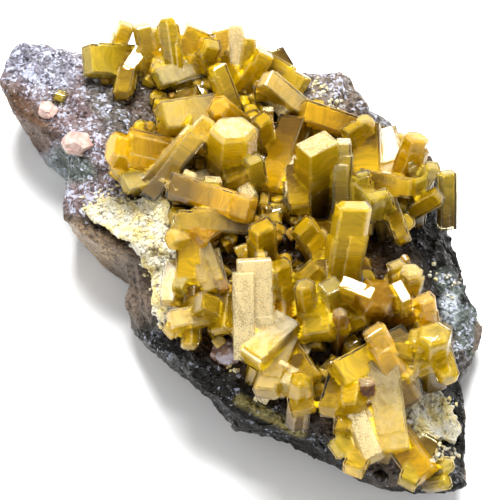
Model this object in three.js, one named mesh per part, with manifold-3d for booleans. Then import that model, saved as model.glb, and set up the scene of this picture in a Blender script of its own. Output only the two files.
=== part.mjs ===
// Raw citrine crystal: honey-yellow blocky crystals crowded over a slab of dark host rock.
// Millimetres, +Z up. The slab lies along X and rests on its flat underside at z = 0.
// Places are read off the reference photograph as pixel columns and rows, and turned into
// millimetres by the view that the photograph was taken from. Sizes are millimetres.
import * as THREE from "three";
import { ConvexGeometry } from "three/addons/geometries/ConvexGeometry.js";
import { ImprovedNoise } from "three/addons/math/ImprovedNoise.js";
import { mergeVertices } from "three/addons/utils/BufferGeometryUtils.js";
import Module from "manifold-3d";

// The photograph's view
const PIXEL = 0.2; // what one pixel spans at the target
const PHOTO_MIDDLE = 250; // column and row of the picture's middle
const VIEW_AZIMUTH = 47.4; // degrees round from looking along +Y
const VIEW_ELEVATION = 62; // degrees above the horizon
const VIEW_DISTANCE = 400;
const VIEW_TARGET = new THREE.Vector3(3.15, -9.06, 18);

// The slab
const ROCK_HEART = [262, 275]; // pixel of the middle of the slab's top
const CREST_HEIGHT = 24; // the slab's top under the thickest crystals
const RIM_HEIGHT = 13; // a middling height of its rim
const SIDE_RINGS = [ // height as a share of the rim's, and how far in from the rim
  { share: 0, inset: 6 },
  { share: 0.3, inset: 2.6 },
  { share: 0.68, inset: 0.5 },
];
const SHOULDER = { width: 2.2, rise: 1.4 }; // the broken edge inside the rim
const TOP_RINGS = [ // share of the way from the heart to the rim, and how many points are kept
  { share: 0.92, every: 1 },
  { share: 0.83, every: 2 },
  { share: 0.74, every: 2 },
  { share: 0.64, every: 4 },
  { share: 0.48, every: 4 },
  { share: 0.28, every: 8 },
];
const ROUGHNESS = { height: 1.9, foot: 0.6, upright: 0.8 }; // lumps' height, and shares of it
const LUMPS = { span: 8, finer: 2.7, share: 0.5 }; // their distance, and a finer set over them
const WOBBLE = { share: 0.42, pace: 1.7 }; // how unevenly a loose lump is shaped
const SETTLED = 0.35; // share of a knob's height that is sunk in the slab

// The level that the crystals part at: a dome over the slab, with the distances to its foot
const DOME = { middle: [262, 262], top: 29, along: 118, near: 56, far: 84, tries: 16 };

// Fits
const GAP = 0.35; // air between two solids that grew side by side
const COLUMN_FOOT = 10; // height that the crusts end at on the slab's side
const FINENESS = 0.15; // how closely a layer follows the rock under it
const ROCK_FINENESS = 0.2; // largest ripple of the rock that is smoothed away
const GRAIN_FINENESS = 0.06; // largest ripple of a grain's foot that is smoothed away
const CRUST = 1.3; // thickness of the pale crust
const ROOT = { lying: 5, standing: 8 }; // how far a crystal reaches below the dome
const CLEARANCE = 0.6; // least height of a tip's middle over the rock, as a share of its depth
const TIP_BEVEL = 0.16; // worn edge of a six-sided crystal's end, as a share of its width

const wasm = await Module();
wasm.setup();
const perlin = new ImprovedNoise();
const radians = THREE.MathUtils.degToRad;

// Directions of the view: to the right in the picture, up in the picture, and out towards the eye
const azimuth = radians(VIEW_AZIMUTH);
const elevation = radians(VIEW_ELEVATION);
const outward = new THREE.Vector3(
  Math.sin(azimuth) * Math.cos(elevation),
  -Math.cos(azimuth) * Math.cos(elevation),
  Math.sin(elevation),
);
const rightward = new THREE.Vector3(Math.cos(azimuth), Math.sin(azimuth), 0);
const upward = outward.clone().cross(rightward);
const eye = VIEW_TARGET.clone().addScaledVector(outward, VIEW_DISTANCE);

// The direction from the eye through a pixel
function throughPixel([column, row]) {
  return outward
    .clone()
    .multiplyScalar(-VIEW_DISTANCE)
    .addScaledVector(rightward, (column - PHOTO_MIDDLE) * PIXEL)
    .addScaledVector(upward, (PHOTO_MIDDLE - row) * PIXEL)
    .normalize();
}

// The point at a height that is seen at a pixel
function atHeight(pixel, height) {
  const ray = throughPixel(pixel);
  return eye.clone().addScaledVector(ray, (height - eye.z) / ray.z);
}

// A direction given by its heading in the picture and its rise out of the picture, in degrees
function heading(turn, rise) {
  return rightward
    .clone()
    .multiplyScalar(Math.cos(radians(turn)) * Math.cos(radians(rise)))
    .addScaledVector(upward, Math.sin(radians(turn)) * Math.cos(radians(rise)))
    .addScaledVector(outward, Math.sin(radians(rise)));
}

// Solids

function solidFrom(geometry) {
  const bare = new THREE.BufferGeometry().setAttribute("position", geometry.getAttribute("position"));
  if (geometry.index) bare.setIndex(geometry.index);
  const merged = mergeVertices(bare, 1e-4);
  return new wasm.Manifold(
    new wasm.Mesh({
      numProp: 3,
      vertProperties: new Float32Array(merged.attributes.position.array),
      triVerts: new Uint32Array(merged.index.array),
    }),
  );
}

function geometryFrom(solid) {
  const mesh = solid.getMesh();
  return new THREE.BufferGeometry()
    .setAttribute("position", new THREE.BufferAttribute(new Float32Array(mesh.vertProperties), 3))
    .setIndex(new THREE.BufferAttribute(new Uint32Array(mesh.triVerts), 1));
}

// The same solid with its skin pushed out by a distance
function grown(solid, distance) {
  const geometry = geometryFrom(solid);
  geometry.computeVertexNormals();
  const { position, normal } = geometry.attributes;
  for (let i = 0; i < position.count; i++) {
    const place = new THREE.Vector3().fromBufferAttribute(position, i);
    place.addScaledVector(new THREE.Vector3().fromBufferAttribute(normal, i), distance);
    position.setXYZ(i, ...place);
  }
  return solidFrom(geometry);
}

function joined(solids) {
  return wasm.Manifold.union(solids);
}

// A solid without the crumbs that a cut left loose
function largestPiece(solid) {
  return solid.decompose().sort((a, b) => b.volume() - a.volume())[0];
}

// The slab

// The rim of the slab's top, clockwise in the picture: pixel column, row, and height in mm
const RIM = [
  [5, 76, 17], [7, 54, 18], [22, 46, 18], [44, 47, 18], [63, 51, 18], [84, 53, 17], [106, 51, 17],
  [130, 48, 17], [157, 46, 17], [186, 44, 17], [215, 46, 17], [243, 52, 17], [266, 62, 17],
  [290, 68, 16], [311, 71, 16], [333, 73, 16], [348, 78, 15], [352, 85, 14], [361, 90, 14],
  [366, 104, 13], [382, 114, 13], [400, 128, 12], [416, 142, 12], [430, 160, 11], [440, 182, 10],
  [443, 205, 9], [447, 226, 8], [456, 246, 8], [461, 270, 8], [468, 290, 8], [479, 308, 7],
  [484, 329, 7], [479, 349, 7], [470, 363, 8], [462, 382, 8], [462, 401, 8], [465, 421, 8],
  [467, 444, 8], [466, 469, 8], [460, 488, 10], [438, 486, 13], [414, 480, 14], [389, 479, 14],
  [367, 472, 15], [344, 462, 15], [321, 447, 15], [299, 435, 15], [275, 427, 16], [252, 424, 16],
  [231, 410, 16], [212, 390, 17], [190, 369, 17], [160, 353, 15], [138, 332, 12], [126, 306, 11],
  [123, 283, 12], [124, 263, 15], [106, 250, 17], [84, 234, 17], [64, 216, 16], [57, 197, 16],
  [64, 177, 17], [67, 157, 18], [57, 140, 18], [42, 125, 17], [22, 115, 17], [10, 100, 17],
  [6, 87, 17],
];

const heart = atHeight(ROCK_HEART, CREST_HEIGHT);

// The rim's points with one more between each two, anticlockwise seen from above
function rimPoints() {
  const points = [];
  RIM.forEach(([column, row, height], i) => {
    const here = atHeight([column, row], height);
    const [nextColumn, nextRow, nextHeight] = RIM[(i + 1) % RIM.length];
    const next = atHeight([nextColumn, nextRow], nextHeight);
    points.push(here, here.clone().lerp(next, 0.5));
  });
  return points.reverse();
}

// Lumps and hollows, as a push along each axis that follows its own run of the noise
function roughened(point, share = 1) {
  const [x, y, z] = point.toArray().map((value) => value / LUMPS.span);
  const push = (run) =>
    perlin.noise(x + run, y, z) +
    LUMPS.share * perlin.noise(x * LUMPS.finer, y * LUMPS.finer + run, z * LUMPS.finer);
  const pushes = new THREE.Vector3(push(3.1), push(17.3), ROUGHNESS.upright * push(31.9));
  return point.clone().addScaledVector(pushes, ROUGHNESS.height * share);
}

function thinned(ring, every) {
  return ring.filter((_, i) => i % every === 0);
}

// The faces between two rings, of which one may have twice as many points as the other
function stitch(faces, lower, upper) {
  const count = Math.max(lower.length, upper.length);
  const at = (ring, i) => ring[Math.floor(((i % count) * ring.length) / count)];
  for (let i = 0; i < count; i++) {
    const [a, b] = [at(lower, i), at(lower, i + 1)];
    const [c, d] = [at(upper, i), at(upper, i + 1)];
    if (a !== b) faces.push([a, b, d]);
    if (c !== d) faces.push([a, d, c]);
  }
}

function slab() {
  const rim = rimPoints();
  const inward = (point, distance) => {
    const flat = heart.clone().setZ(point.z).sub(point);
    return point.clone().addScaledVector(flat.normalize(), distance);
  };
  const [foot, ...walls] = SIDE_RINGS.map(({ share, inset }) =>
    thinned(rim, 2).map((point) => inward(point, inset).setZ(point.z * share)),
  );
  const shoulder = rim.map((point) => inward(point, SHOULDER.width).setZ(point.z + SHOULDER.rise));
  const tops = TOP_RINGS.map(({ share, every }) =>
    thinned(rim, every).map((point) => {
      const height = THREE.MathUtils.lerp(point.z + SHOULDER.rise, CREST_HEIGHT, 1 - share * share);
      return heart.clone().lerp(point, share).setZ(height);
    }),
  );
  const rings = [
    foot.map((point) => roughened(point, ROUGHNESS.foot).setZ(0)),
    ...[...walls, rim, shoulder, ...tops].map((ring) => ring.map((point) => roughened(point))),
  ];

  const faces = [];
  const under = heart.clone().setZ(0);
  rings[0].forEach((point, i) => faces.push([point, under, rings[0][(i + 1) % rings[0].length]]));
  for (let i = 1; i < rings.length; i++) stitch(faces, rings[i - 1], rings[i]);
  const last = rings.at(-1);
  last.forEach((point, i) => faces.push([point, last[(i + 1) % last.length], heart]));
  const corners = faces.flat().flatMap((point) => point.toArray());
  return solidFrom(
    new THREE.BufferGeometry().setAttribute("position", new THREE.Float32BufferAttribute(corners, 3)),
  );
}

// A surface that rays from the eye are dropped onto
function surfaceOf(solid) {
  return new THREE.Mesh(geometryFrom(solid), new THREE.MeshBasicMaterial({ side: THREE.DoubleSide }));
}

// The point of a surface that is seen at a pixel, or a point at the height of the rim beside it
function seenOn(surface, pixel) {
  const [hit] = new THREE.Raycaster(eye, throughPixel(pixel)).intersectObject(surface);
  return hit ? hit.point : atHeight(pixel, RIM_HEIGHT);
}

const plainSlab = slab();
const slabSurface = surfaceOf(plainSlab);

// An irregular faceted lump: where it is seen, its three spans, and a number for its shape
function lump({ at, spans, shape, sink = 0 }) {
  const ball = new THREE.DodecahedronGeometry(1).getAttribute("position");
  const centre = seenOn(slabSurface, at).setZ(seenOn(slabSurface, at).z - sink * spans[2]);
  const corners = [];
  for (let i = 0; i < ball.count; i++) {
    const corner = new THREE.Vector3().fromBufferAttribute(ball, i);
    const [x, y, z] = corner.toArray().map((value) => value * WOBBLE.pace);
    corner.multiplyScalar(1 + WOBBLE.share * perlin.noise(x + shape, y, z));
    corner.multiply(new THREE.Vector3(...spans).multiplyScalar(0.5));
    corners.push(corner.applyAxisAngle(new THREE.Vector3(0, 0, 1), shape).add(centre));
  }
  return solidFrom(new ConvexGeometry(corners));
}

// Knobs and ledges of the same rock
const KNOBS = [
  { at: [322, 98], spans: [15, 11, 7], shape: 5, sink: SETTLED },
  { at: [352, 102], spans: [9, 8, 7], shape: 6, sink: SETTLED },
  { at: [30, 74], spans: [16, 12, 7], shape: 1, sink: SETTLED },
  { at: [436, 262], spans: [12, 9, 8], shape: 9, sink: SETTLED },
  { at: [452, 345], spans: [9, 8, 6], shape: 10, sink: SETTLED },
];
const hostRock = joined([plainSlab, ...KNOBS.map(lump)]).simplify(ROCK_FINENESS);
const rockSurface = surfaceOf(hostRock);

// The rock with a film of air on it
function rockWithAir(air) {
  return grown(hostRock, air + FINENESS).simplify(FINENESS);
}

// Grains of other minerals set in the rock
const GRAINS = [
  { name: "spar_grain", at: [77, 144], spans: [7, 5.4, 5], shape: 32, tone: "spar" },
  { name: "spar_chip", at: [49, 112], spans: [5, 4.4, 4], shape: 22, tone: "spar" },
  { name: "smoky_grain", at: [229, 352], spans: [8, 6.6, 7], shape: 23, tone: "smoky" },
  { name: "smoky_eye", at: [421, 391], spans: [5.4, 4.4, 4], shape: 24, sink: 0.1, tone: "smoky" },
];

// The pale crust

// Its two fields, as outlines in the picture
const CRUSTS = {
  left_crust: [
    [84, 213], [98, 206], [114, 200], [132, 204], [150, 197], [163, 194], [172, 206], [179, 226],
    [168, 241], [176, 262], [176, 276], [170, 290], [176, 312], [164, 326], [152, 316], [154, 296],
    [150, 277], [141, 262], [131, 247], [118, 240], [107, 232], [94, 223],
  ],
  right_crust: [
    [398, 386], [412, 378], [427, 384], [441, 396], [450, 412], [460, 432], [454, 448], [440, 441],
    [428, 447], [438, 462], [424, 461], [410, 441], [402, 416],
  ],
};

// The column over an outline, from above the undercut sides of the slab
function columnOver(outline) {
  const corners = outline.map((pixel) => seenOn(slabSurface, pixel));
  const shape = new THREE.Shape(corners.map(({ x, y }) => new THREE.Vector2(x, y)));
  const column = new THREE.ExtrudeGeometry(shape, { depth: CREST_HEIGHT, bevelEnabled: false });
  return solidFrom(column.translate(0, 0, COLUMN_FOOT));
}

// A layer that lies on the rock inside an outline
function crust(outline) {
  return grown(hostRock, GAP + CRUST)
    .simplify(FINENESS)
    .intersect(columnOver(outline))
    .subtract(rockWithAir(GAP));
}

// Crystals

// Massive citrine that the crystals root in
const MOUNDS = [
  { at: [185, 84], spans: [17, 12, 11], shape: 41 },
  { at: [240, 84], spans: [17, 12, 11], shape: 42 },
  { at: [188, 142], spans: [17, 12, 11], shape: 43 },
  { at: [282, 128], spans: [17, 12, 11], shape: 44 },
  { at: [204, 196], spans: [17, 12, 11], shape: 45 },
  { at: [300, 200], spans: [20, 14, 11], shape: 46 },
  { at: [272, 250], spans: [20, 14, 16], shape: 47 },
  { at: [372, 240], spans: [17, 13, 12], shape: 48 },
  { at: [228, 304], spans: [14, 11, 9], shape: 49 },
  { at: [424, 206], spans: [11, 10, 10], shape: 50 },
];

// Where the line of sight through a pixel meets the dome
const domeMiddle = atHeight(DOME.middle, DOME.top);
function onDome(pixel) {
  let point = atHeight(pixel, DOME.top);
  for (let i = 0; i < DOME.tries; i++) {
    const across = point.y < domeMiddle.y ? DOME.near : DOME.far;
    const fall = ((point.x - domeMiddle.x) / DOME.along) ** 2 + ((point.y - domeMiddle.y) / across) ** 2;
    point = atHeight(pixel, (point.z + DOME.top * (1 - fall)) / 2);
  }
  return point;
}

// The cross-sections, as corners in shares of the half width and half depth
const SECTIONS = {
  block: [[-1, -1], [1, -1], [1, 1], [-1, 1]],
  cut: [[-1, -1], [0.6, -1], [1, -0.5], [1, 1], [-0.6, 1], [-1, 0.5]],
  six: [[-1, 0], [-0.5, -1], [0.5, -1], [1, 0], [0.5, 1], [-0.5, 1]],
};

// Crystals, each by the pixel of its tip, its heading in the picture and its rise out of it in
// degrees, its width, depth and length, its turn about its own axis, its cross-section, and how
// far it stands in front of its place on the dome
const CRYSTALS = [
  // along the far edge
  { tip: [88, 62], turn: 178, rise: 40, size: [6.4, 3.6, 8], roll: 10, section: "block" },
  { tip: [128, 24], turn: 66, rise: 22, size: [3.4, 3.6, 6.8], roll: 20, section: "cut" },
  { tip: [142, 25], turn: 100, rise: 22, size: [3.2, 3.6, 8], roll: 15, section: "block" },
  { tip: [153, 29], turn: 118, rise: 22, size: [2.6, 3.2, 7.2], roll: 10, section: "block" },
  { tip: [128, 76], turn: 237, rise: 21, size: [2.6, 2.8, 5.2], roll: 16, section: "block", forward: 2 },
  { tip: [123, 98], turn: 262, rise: 38, size: [4.2, 3.2, 6], roll: 15, section: "cut" },
  { tip: [167, 18], turn: 98, rise: 18, size: [4, 4, 11.2], roll: 25, section: "six" },
  { tip: [199, 28], turn: 66, rise: 15, size: [5.2, 3.6, 8], roll: 15, section: "block" },
  { tip: [211, 41], turn: 62, rise: 38, size: [3.4, 3.2, 6], roll: -15, section: "block" },
  { tip: [156, 82], turn: 200, rise: 30, size: [4, 3.2, 6.8], roll: 10, section: "block" },
  { tip: [160, 120], turn: 190, rise: 22, size: [6, 5.2, 10], roll: 12, section: "block" },
  { tip: [236, 25], turn: 91, rise: 12, size: [2.8, 4.4, 8.8], roll: 0, section: "block", forward: 1 },
  { tip: [220, 28], turn: 105, rise: 15, size: [3.4, 2.8, 6.8], roll: 15, section: "block" },
  { tip: [250, 38], turn: 80, rise: 15, size: [2.8, 3.2, 8], roll: 20, section: "cut" },
  { tip: [266, 53], turn: 62, rise: 20, size: [3.8, 3.6, 6.8], roll: 20, section: "cut" },
  { tip: [216, 66], turn: 112, rise: 22, size: [3.4, 3.2, 9.2], roll: 20, section: "block" },
  { tip: [263, 80], turn: 142, rise: 25, size: [4, 3.6, 9.2], roll: 25, section: "block" },
  { tip: [306, 89], turn: 330, rise: 18, size: [4.4, 3.2, 8], roll: 10, section: "block" },
  { tip: [217, 110], turn: 140, rise: 62, size: [5.2, 4.4, 8.8], roll: 15, section: "six" },
  { tip: [234, 130], turn: 85, rise: 50, size: [10, 6.8, 10], roll: 10, section: "six" },
  { tip: [210, 121], turn: 48, rise: 12, size: [3.4, 3.2, 13.2], roll: 15, section: "block", forward: 1.5 },
  { tip: [262, 120], turn: 100, rise: 48, size: [4, 3.4, 6.4], roll: 30, section: "cut" },
  // towards the right
  { tip: [300, 112], turn: 162, rise: 15, size: [4.8, 4, 11.2], roll: 15, section: "block" },
  { tip: [349, 128], turn: 110, rise: 40, size: [3.6, 3.2, 6], roll: 20, section: "block" },
  { tip: [364, 119], turn: 86, rise: 42, size: [3.8, 3.2, 7.2], roll: 10, section: "six" },
  { tip: [366, 186], turn: 272, rise: 22, size: [5.6, 4.4, 7.2], roll: 12, section: "block" },
  { tip: [396, 174], turn: 283, rise: 20, size: [4.8, 4, 4.4], roll: 6, section: "block" },
  { tip: [415, 137], turn: 74, rise: 30, size: [6, 4.4, 8.8], roll: 20, section: "six" },
  { tip: [432, 166], turn: 65, rise: 40, size: [3, 2.6, 6], roll: 30, section: "cut" },
  { tip: [447, 172], turn: 92, rise: 22, size: [3, 3.2, 7.2], roll: 10, section: "block" },
  { tip: [438, 196], turn: 30, rise: 40, size: [3.2, 2.8, 5.2], roll: 20, section: "block" },
  { tip: [412, 189], turn: 350, rise: 30, size: [4, 3.2, 6.8], roll: 10, section: "block" },
  { tip: [377, 212], turn: 318, rise: 50, size: [5.2, 3.2, 5.2], roll: 40, section: "cut" },
  { tip: [352, 208], turn: 82, rise: 20, size: [6.8, 5.2, 14.4], roll: 18, section: "cut", forward: 1 },
  { tip: [316, 146], turn: 92, rise: 46, size: [7.2, 4.8, 10.8], roll: 35, section: "block", forward: 1 },
  { tip: [343, 142], turn: 88, rise: 18, size: [3, 4, 10], roll: 0, section: "block", forward: 1 },
  { tip: [268, 194], turn: 250, rise: 26, size: [5.4, 4.4, 12.4], roll: 24, section: "block" },
  { tip: [238, 186], turn: 282, rise: 45, size: [5.2, 4, 5.6], roll: 15, section: "cut" },
  { tip: [300, 212], turn: 275, rise: 40, size: [4.4, 2.8, 5.2], roll: 5, section: "block" },
  { tip: [320, 262], turn: 268, rise: 48, size: [4.4, 2.8, 5.2], roll: 0, section: "block" },
  { tip: [302, 226], turn: 125, rise: 34, size: [5.2, 3.6, 6.8], roll: 15, section: "cut" },
  { tip: [262, 227], turn: 95, rise: 42, size: [5.2, 4, 7.2], roll: 30, section: "cut" },
  // on the left
  { tip: [112, 150], turn: 166, rise: 32, size: [8, 5.2, 10.4], roll: 20, section: "six" },
  { tip: [124, 186], turn: 203, rise: 22, size: [4, 3.2, 7.6], roll: 10, section: "cut" },
  { tip: [252, 211], turn: 343, rise: 16, size: [5.2, 4.8, 12], roll: 12, section: "cut", forward: 1.5 },
  { tip: [178, 221], turn: 176, rise: 20, size: [4, 3.6, 8.8], roll: 10, section: "block" },
  { tip: [171, 240], turn: 195, rise: 48, size: [4.6, 3.6, 6], roll: 15, section: "six" },
  { tip: [197, 240], turn: 215, rise: 45, size: [4, 2.8, 5.2], roll: 20, section: "block" },
  { tip: [190, 284], turn: 274, rise: 18, size: [4, 3.6, 8.8], roll: 8, section: "block" },
  { tip: [216, 290], turn: 290, rise: 18, size: [4, 3.6, 8.8], roll: 10, section: "block" },
  { tip: [211, 303], turn: 30, rise: 50, size: [4, 4, 5.2], roll: 45, section: "block", forward: 1.5 },
  { tip: [172, 320], turn: 188, rise: 22, size: [3.6, 3, 8.4], roll: 15, section: "block" },
  { tip: [190, 346], turn: 268, rise: 24, size: [4, 3.2, 7.2], roll: 20, section: "six" },
  { tip: [168, 303], turn: 262, rise: 32, size: [3, 2.4, 4.4], roll: 10, section: "block" },
  { tip: [219, 331], turn: 262, rise: 34, size: [3.6, 2.8, 5.2], roll: 10, section: "block" },
  // in the middle
  { tip: [254, 262], turn: 92, rise: 8, size: [6.6, 4.8, 15.6], roll: 2, section: "block", forward: 1 },
  { tip: [252, 361], turn: 226, rise: 24, size: [5.2, 4, 6], roll: 30, section: "block", forward: 1 },
  { tip: [280, 264], turn: 98, rise: 32, size: [4.4, 3.6, 7.2], roll: 30, section: "cut" },
  { tip: [283, 340], turn: 276, rise: 14, size: [4, 3.6, 10], roll: 35, section: "block" },
  { tip: [306, 271], turn: 125, rise: 45, size: [5, 3.2, 6], roll: 10, section: "block" },
  { tip: [303, 284], turn: 100, rise: 60, size: [4.4, 3.2, 8], roll: 10, section: "six", forward: 1 },
  { tip: [317, 336], turn: 272, rise: 28, size: [6.4, 5.2, 10], roll: 20, section: "cut" },
  { tip: [330, 286], turn: 95, rise: 50, size: [4, 3.6, 6], roll: 25, section: "block" },
  { tip: [355, 287], turn: 90, rise: 62, size: [6.6, 2.6, 7.2], roll: -24, section: "block", forward: 1 },
  { tip: [399, 291], turn: 90, rise: 62, size: [4.8, 2.2, 7.2], roll: -66, section: "block", forward: 1.5 },
  { tip: [375, 294], turn: 66, rise: 68, size: [8.4, 6.8, 8], roll: 20, section: "six" },
  { tip: [410, 270], turn: 85, rise: 45, size: [4.8, 4, 6.8], roll: 15, section: "six" },
  { tip: [395, 264], turn: 102, rise: 32, size: [3.2, 2.8, 5.6], roll: 15, section: "block" },
  { tip: [424, 298], turn: 100, rise: 36, size: [3.6, 3.2, 6], roll: 20, section: "cut" },
  { tip: [401, 320], turn: 262, rise: 46, size: [5, 3.6, 5.2], roll: 15, section: "block" },
  // towards the near edge
  { tip: [431, 332], turn: 95, rise: 52, size: [7.2, 5.6, 8], roll: 12, section: "six" },
  { tip: [447, 378], turn: 286, rise: 32, size: [4.6, 4, 7.2], roll: 15, section: "six" },
  { tip: [373, 330], turn: 118, rise: 14, size: [4.4, 4, 9.2], roll: 12, section: "cut", forward: 2 },
  { tip: [338, 374], turn: 207, rise: 20, size: [5.2, 4.8, 10.8], roll: 15, section: "block", forward: 1 },
  { tip: [403, 350], turn: 60, rise: 45, size: [4, 3.6, 5.6], roll: 20, section: "block" },
  { tip: [399, 378], turn: 228, rise: 42, size: [4.2, 3.6, 4.8], roll: 25, section: "block", forward: 1 },
  { tip: [424, 370], turn: 288, rise: 34, size: [4, 3.2, 6], roll: 15, section: "cut" },
  { tip: [393, 446], turn: 276, rise: 14, size: [5.6, 4.4, 12], roll: 6, section: "block", forward: 2 },
  { tip: [372, 455], turn: 292, rise: 22, size: [4.4, 4, 8.4], roll: 10, section: "cut", forward: 1 },
  { tip: [424, 474], turn: 306, rise: 22, size: [5.2, 4, 6.4], roll: 15, section: "block" },
  { tip: [350, 407], turn: 262, rise: 48, size: [6, 5.2, 6.8], roll: 20, section: "six" },
  { tip: [328, 410], turn: 250, rise: 42, size: [3.8, 3.2, 5.2], roll: 20, section: "block" },
  { tip: [300, 377], turn: 85, rise: 58, size: [4.2, 4, 6], roll: 20, section: "six", forward: 1 },
  { tip: [280, 386], turn: 238, rise: 42, size: [4, 3.2, 4.8], roll: 20, section: "block" },
  { tip: [303, 410], turn: 282, rise: 24, size: [4.8, 3.6, 6], roll: 5, section: "block" },
  { tip: [266, 391], turn: 248, rise: 32, size: [5.2, 4, 6.8], roll: 28, section: "cut" },
  { tip: [335, 448], turn: 205, rise: 38, size: [3.6, 2.8, 3.6], roll: 15, section: "block" },
  { tip: [352, 468], turn: 238, rise: 38, size: [4, 3.2, 5.6], roll: 20, section: "block" },
];

// A crystal's corners about its own axis, tip at z = 0 and root below
function crystalCorners(section, wide, deep, long) {
  const bevel = section === "six" ? TIP_BEVEL * Math.min(wide, deep) : 0;
  const ring = (z, inset) =>
    SECTIONS[section].map(
      ([x, y]) => new THREE.Vector3(x * (wide / 2 - inset), y * (deep / 2 - inset), z),
    );
  const rings = [ring(-long, 0), ring(-bevel, 0)];
  if (bevel) rings.push(ring(0, bevel));
  return rings.flat();
}

function crystal({ tip, turn, rise, size: [wide, deep, long], roll, section, forward = 0 }) {
  const axis = heading(turn, rise);
  const side = heading(turn + 90, 0);
  const shown = (long / PIXEL) * Math.cos(radians(rise));
  const rootPixel = [
    tip[0] - shown * Math.cos(radians(turn)),
    tip[1] + shown * Math.sin(radians(turn)),
  ];
  const end = onDome(rootPixel).addScaledVector(axis, long);
  const clear = end.clone().sub(seenOn(rockSurface, tip)).dot(outward);
  end.addScaledVector(outward, forward + Math.max(0, CLEARANCE * deep - clear));
  const frame = new THREE.Matrix4()
    .makeBasis(side, axis.clone().cross(side), axis)
    .multiply(new THREE.Matrix4().makeRotationZ(radians(roll)))
    .setPosition(end);
  const below = THREE.MathUtils.lerp(ROOT.lying, ROOT.standing, Math.max(0, axis.z));
  const corners = crystalCorners(section, wide, deep, long + below);
  return solidFrom(new ConvexGeometry(corners.map((corner) => corner.applyMatrix4(frame))));
}

// The specimen

const TONES = {
  rock: { color: 0x4a4038, roughness: 0.45, metalness: 0.2 },
  citrine: { color: 0xcf9a1c, roughness: 0.25, metalness: 0 },
  crust: { color: 0xece0b0, roughness: 0.85, metalness: 0 },
  spar: { color: 0xe2cbc0, roughness: 0.5, metalness: 0 },
  smoky: { color: 0x8d7568, roughness: 0.3, metalness: 0 },
};

const rockSkin = rockWithAir(GAP);
// Under the grains the film of air is the rock shifted up and to the sides, which never folds
const rockUnderGrains = joined(
  [[0, 0, 1], [1, 0, 0.3], [-1, 0, 0.3], [0, 1, 0.3], [0, -1, 0.3]].map((way) =>
    hostRock.translate(way.map((part) => part * GAP)),
  ),
);
const grains = GRAINS.map((grain) => ({ ...grain, solid: lump(grain) }));
const grainsWithAir = joined(grains.map(({ solid }) => grown(solid, GAP)));
const cluster = largestPiece(
  joined([...MOUNDS.map(lump), ...CRYSTALS.map(crystal)]).subtract(rockSkin).subtract(grainsWithAir),
);
const clusterWithAir = grown(cluster, GAP);

const pieces = [
  { name: "host_rock", solid: hostRock, tone: "rock" },
  { name: "crystal_cluster", solid: cluster, tone: "citrine" },
  ...grains.map(({ name, solid, tone }) => ({
    name,
    solid: solid.subtract(rockUnderGrains).asOriginal().simplify(GRAIN_FINENESS),
    tone,
  })),
  ...Object.entries(CRUSTS).map(([name, outline]) => ({
    name,
    solid: crust(outline).subtract(clusterWithAir).subtract(grainsWithAir),
    tone: "crust",
  })),
];

const specimen = new THREE.Group();
for (const { name, solid, tone } of pieces) {
  const mesh = new THREE.Mesh(
    geometryFrom(largestPiece(solid)),
    new THREE.MeshStandardMaterial(TONES[tone]),
  );
  mesh.name = name;
  specimen.add(mesh);
}

export default specimen;
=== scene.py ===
"""Raw citrine crystal: the looks of the specimen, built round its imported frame.

The honey-yellow crystals are placed as in the solids, by the pixel of the photograph that each tip
is seen at, and get their growth steps, worn edges and side crystals here. The rock, the crusts and
the grains are refined from the solids' own shapes.
"""

import math
import random

import bmesh
import bpy
import numpy as np
from bpy.props import FloatProperty, FloatVectorProperty, IntProperty, PointerProperty
from mathutils import Euler, Matrix, Vector, noise
from mathutils.bvhtree import BVHTree


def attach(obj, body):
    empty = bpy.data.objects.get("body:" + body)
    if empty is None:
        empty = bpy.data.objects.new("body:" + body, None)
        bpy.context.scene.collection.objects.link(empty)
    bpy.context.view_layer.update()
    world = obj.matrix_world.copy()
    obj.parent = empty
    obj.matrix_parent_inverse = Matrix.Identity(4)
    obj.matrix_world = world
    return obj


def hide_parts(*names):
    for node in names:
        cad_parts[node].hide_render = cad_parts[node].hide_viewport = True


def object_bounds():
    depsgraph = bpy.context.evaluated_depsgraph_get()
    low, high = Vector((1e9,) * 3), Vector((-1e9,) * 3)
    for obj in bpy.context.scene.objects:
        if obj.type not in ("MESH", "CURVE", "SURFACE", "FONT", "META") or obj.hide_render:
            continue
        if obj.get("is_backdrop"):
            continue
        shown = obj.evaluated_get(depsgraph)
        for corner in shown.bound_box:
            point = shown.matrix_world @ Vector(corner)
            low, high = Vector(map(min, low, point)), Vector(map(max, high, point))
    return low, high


bl_info = {
    "name": "Raw citrine crystal",
    "version": (1, 0, 0),
    "blender": (4, 5, 0),
    "location": "View3D > Sidebar > Specimen",
    "description": "Dresses the packed citrine specimen: crystals, host rock, crusts and stage",
    "category": "Object",
}

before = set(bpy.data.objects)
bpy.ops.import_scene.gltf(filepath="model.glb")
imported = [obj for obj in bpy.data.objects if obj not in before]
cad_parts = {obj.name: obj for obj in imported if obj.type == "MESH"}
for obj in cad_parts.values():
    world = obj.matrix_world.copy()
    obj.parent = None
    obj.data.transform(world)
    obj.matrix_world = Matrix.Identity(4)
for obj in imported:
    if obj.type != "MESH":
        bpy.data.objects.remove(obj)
CAD_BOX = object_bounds()

MM = 0.001

# The photograph's view, as in the solids
PIXEL = 0.2 * MM  # what one pixel spans at the target
PHOTO_MIDDLE = 250  # column and row of the picture's middle
VIEW_AZIMUTH = math.radians(47.4)
VIEW_ELEVATION = math.radians(62)
VIEW_DISTANCE = 400 * MM
VIEW_TARGET = Vector((3.15, -9.06, 18)) * MM
SENSOR = 36  # mm
LENS = SENSOR * VIEW_DISTANCE / (2 * PHOTO_MIDDLE * PIXEL)

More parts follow.
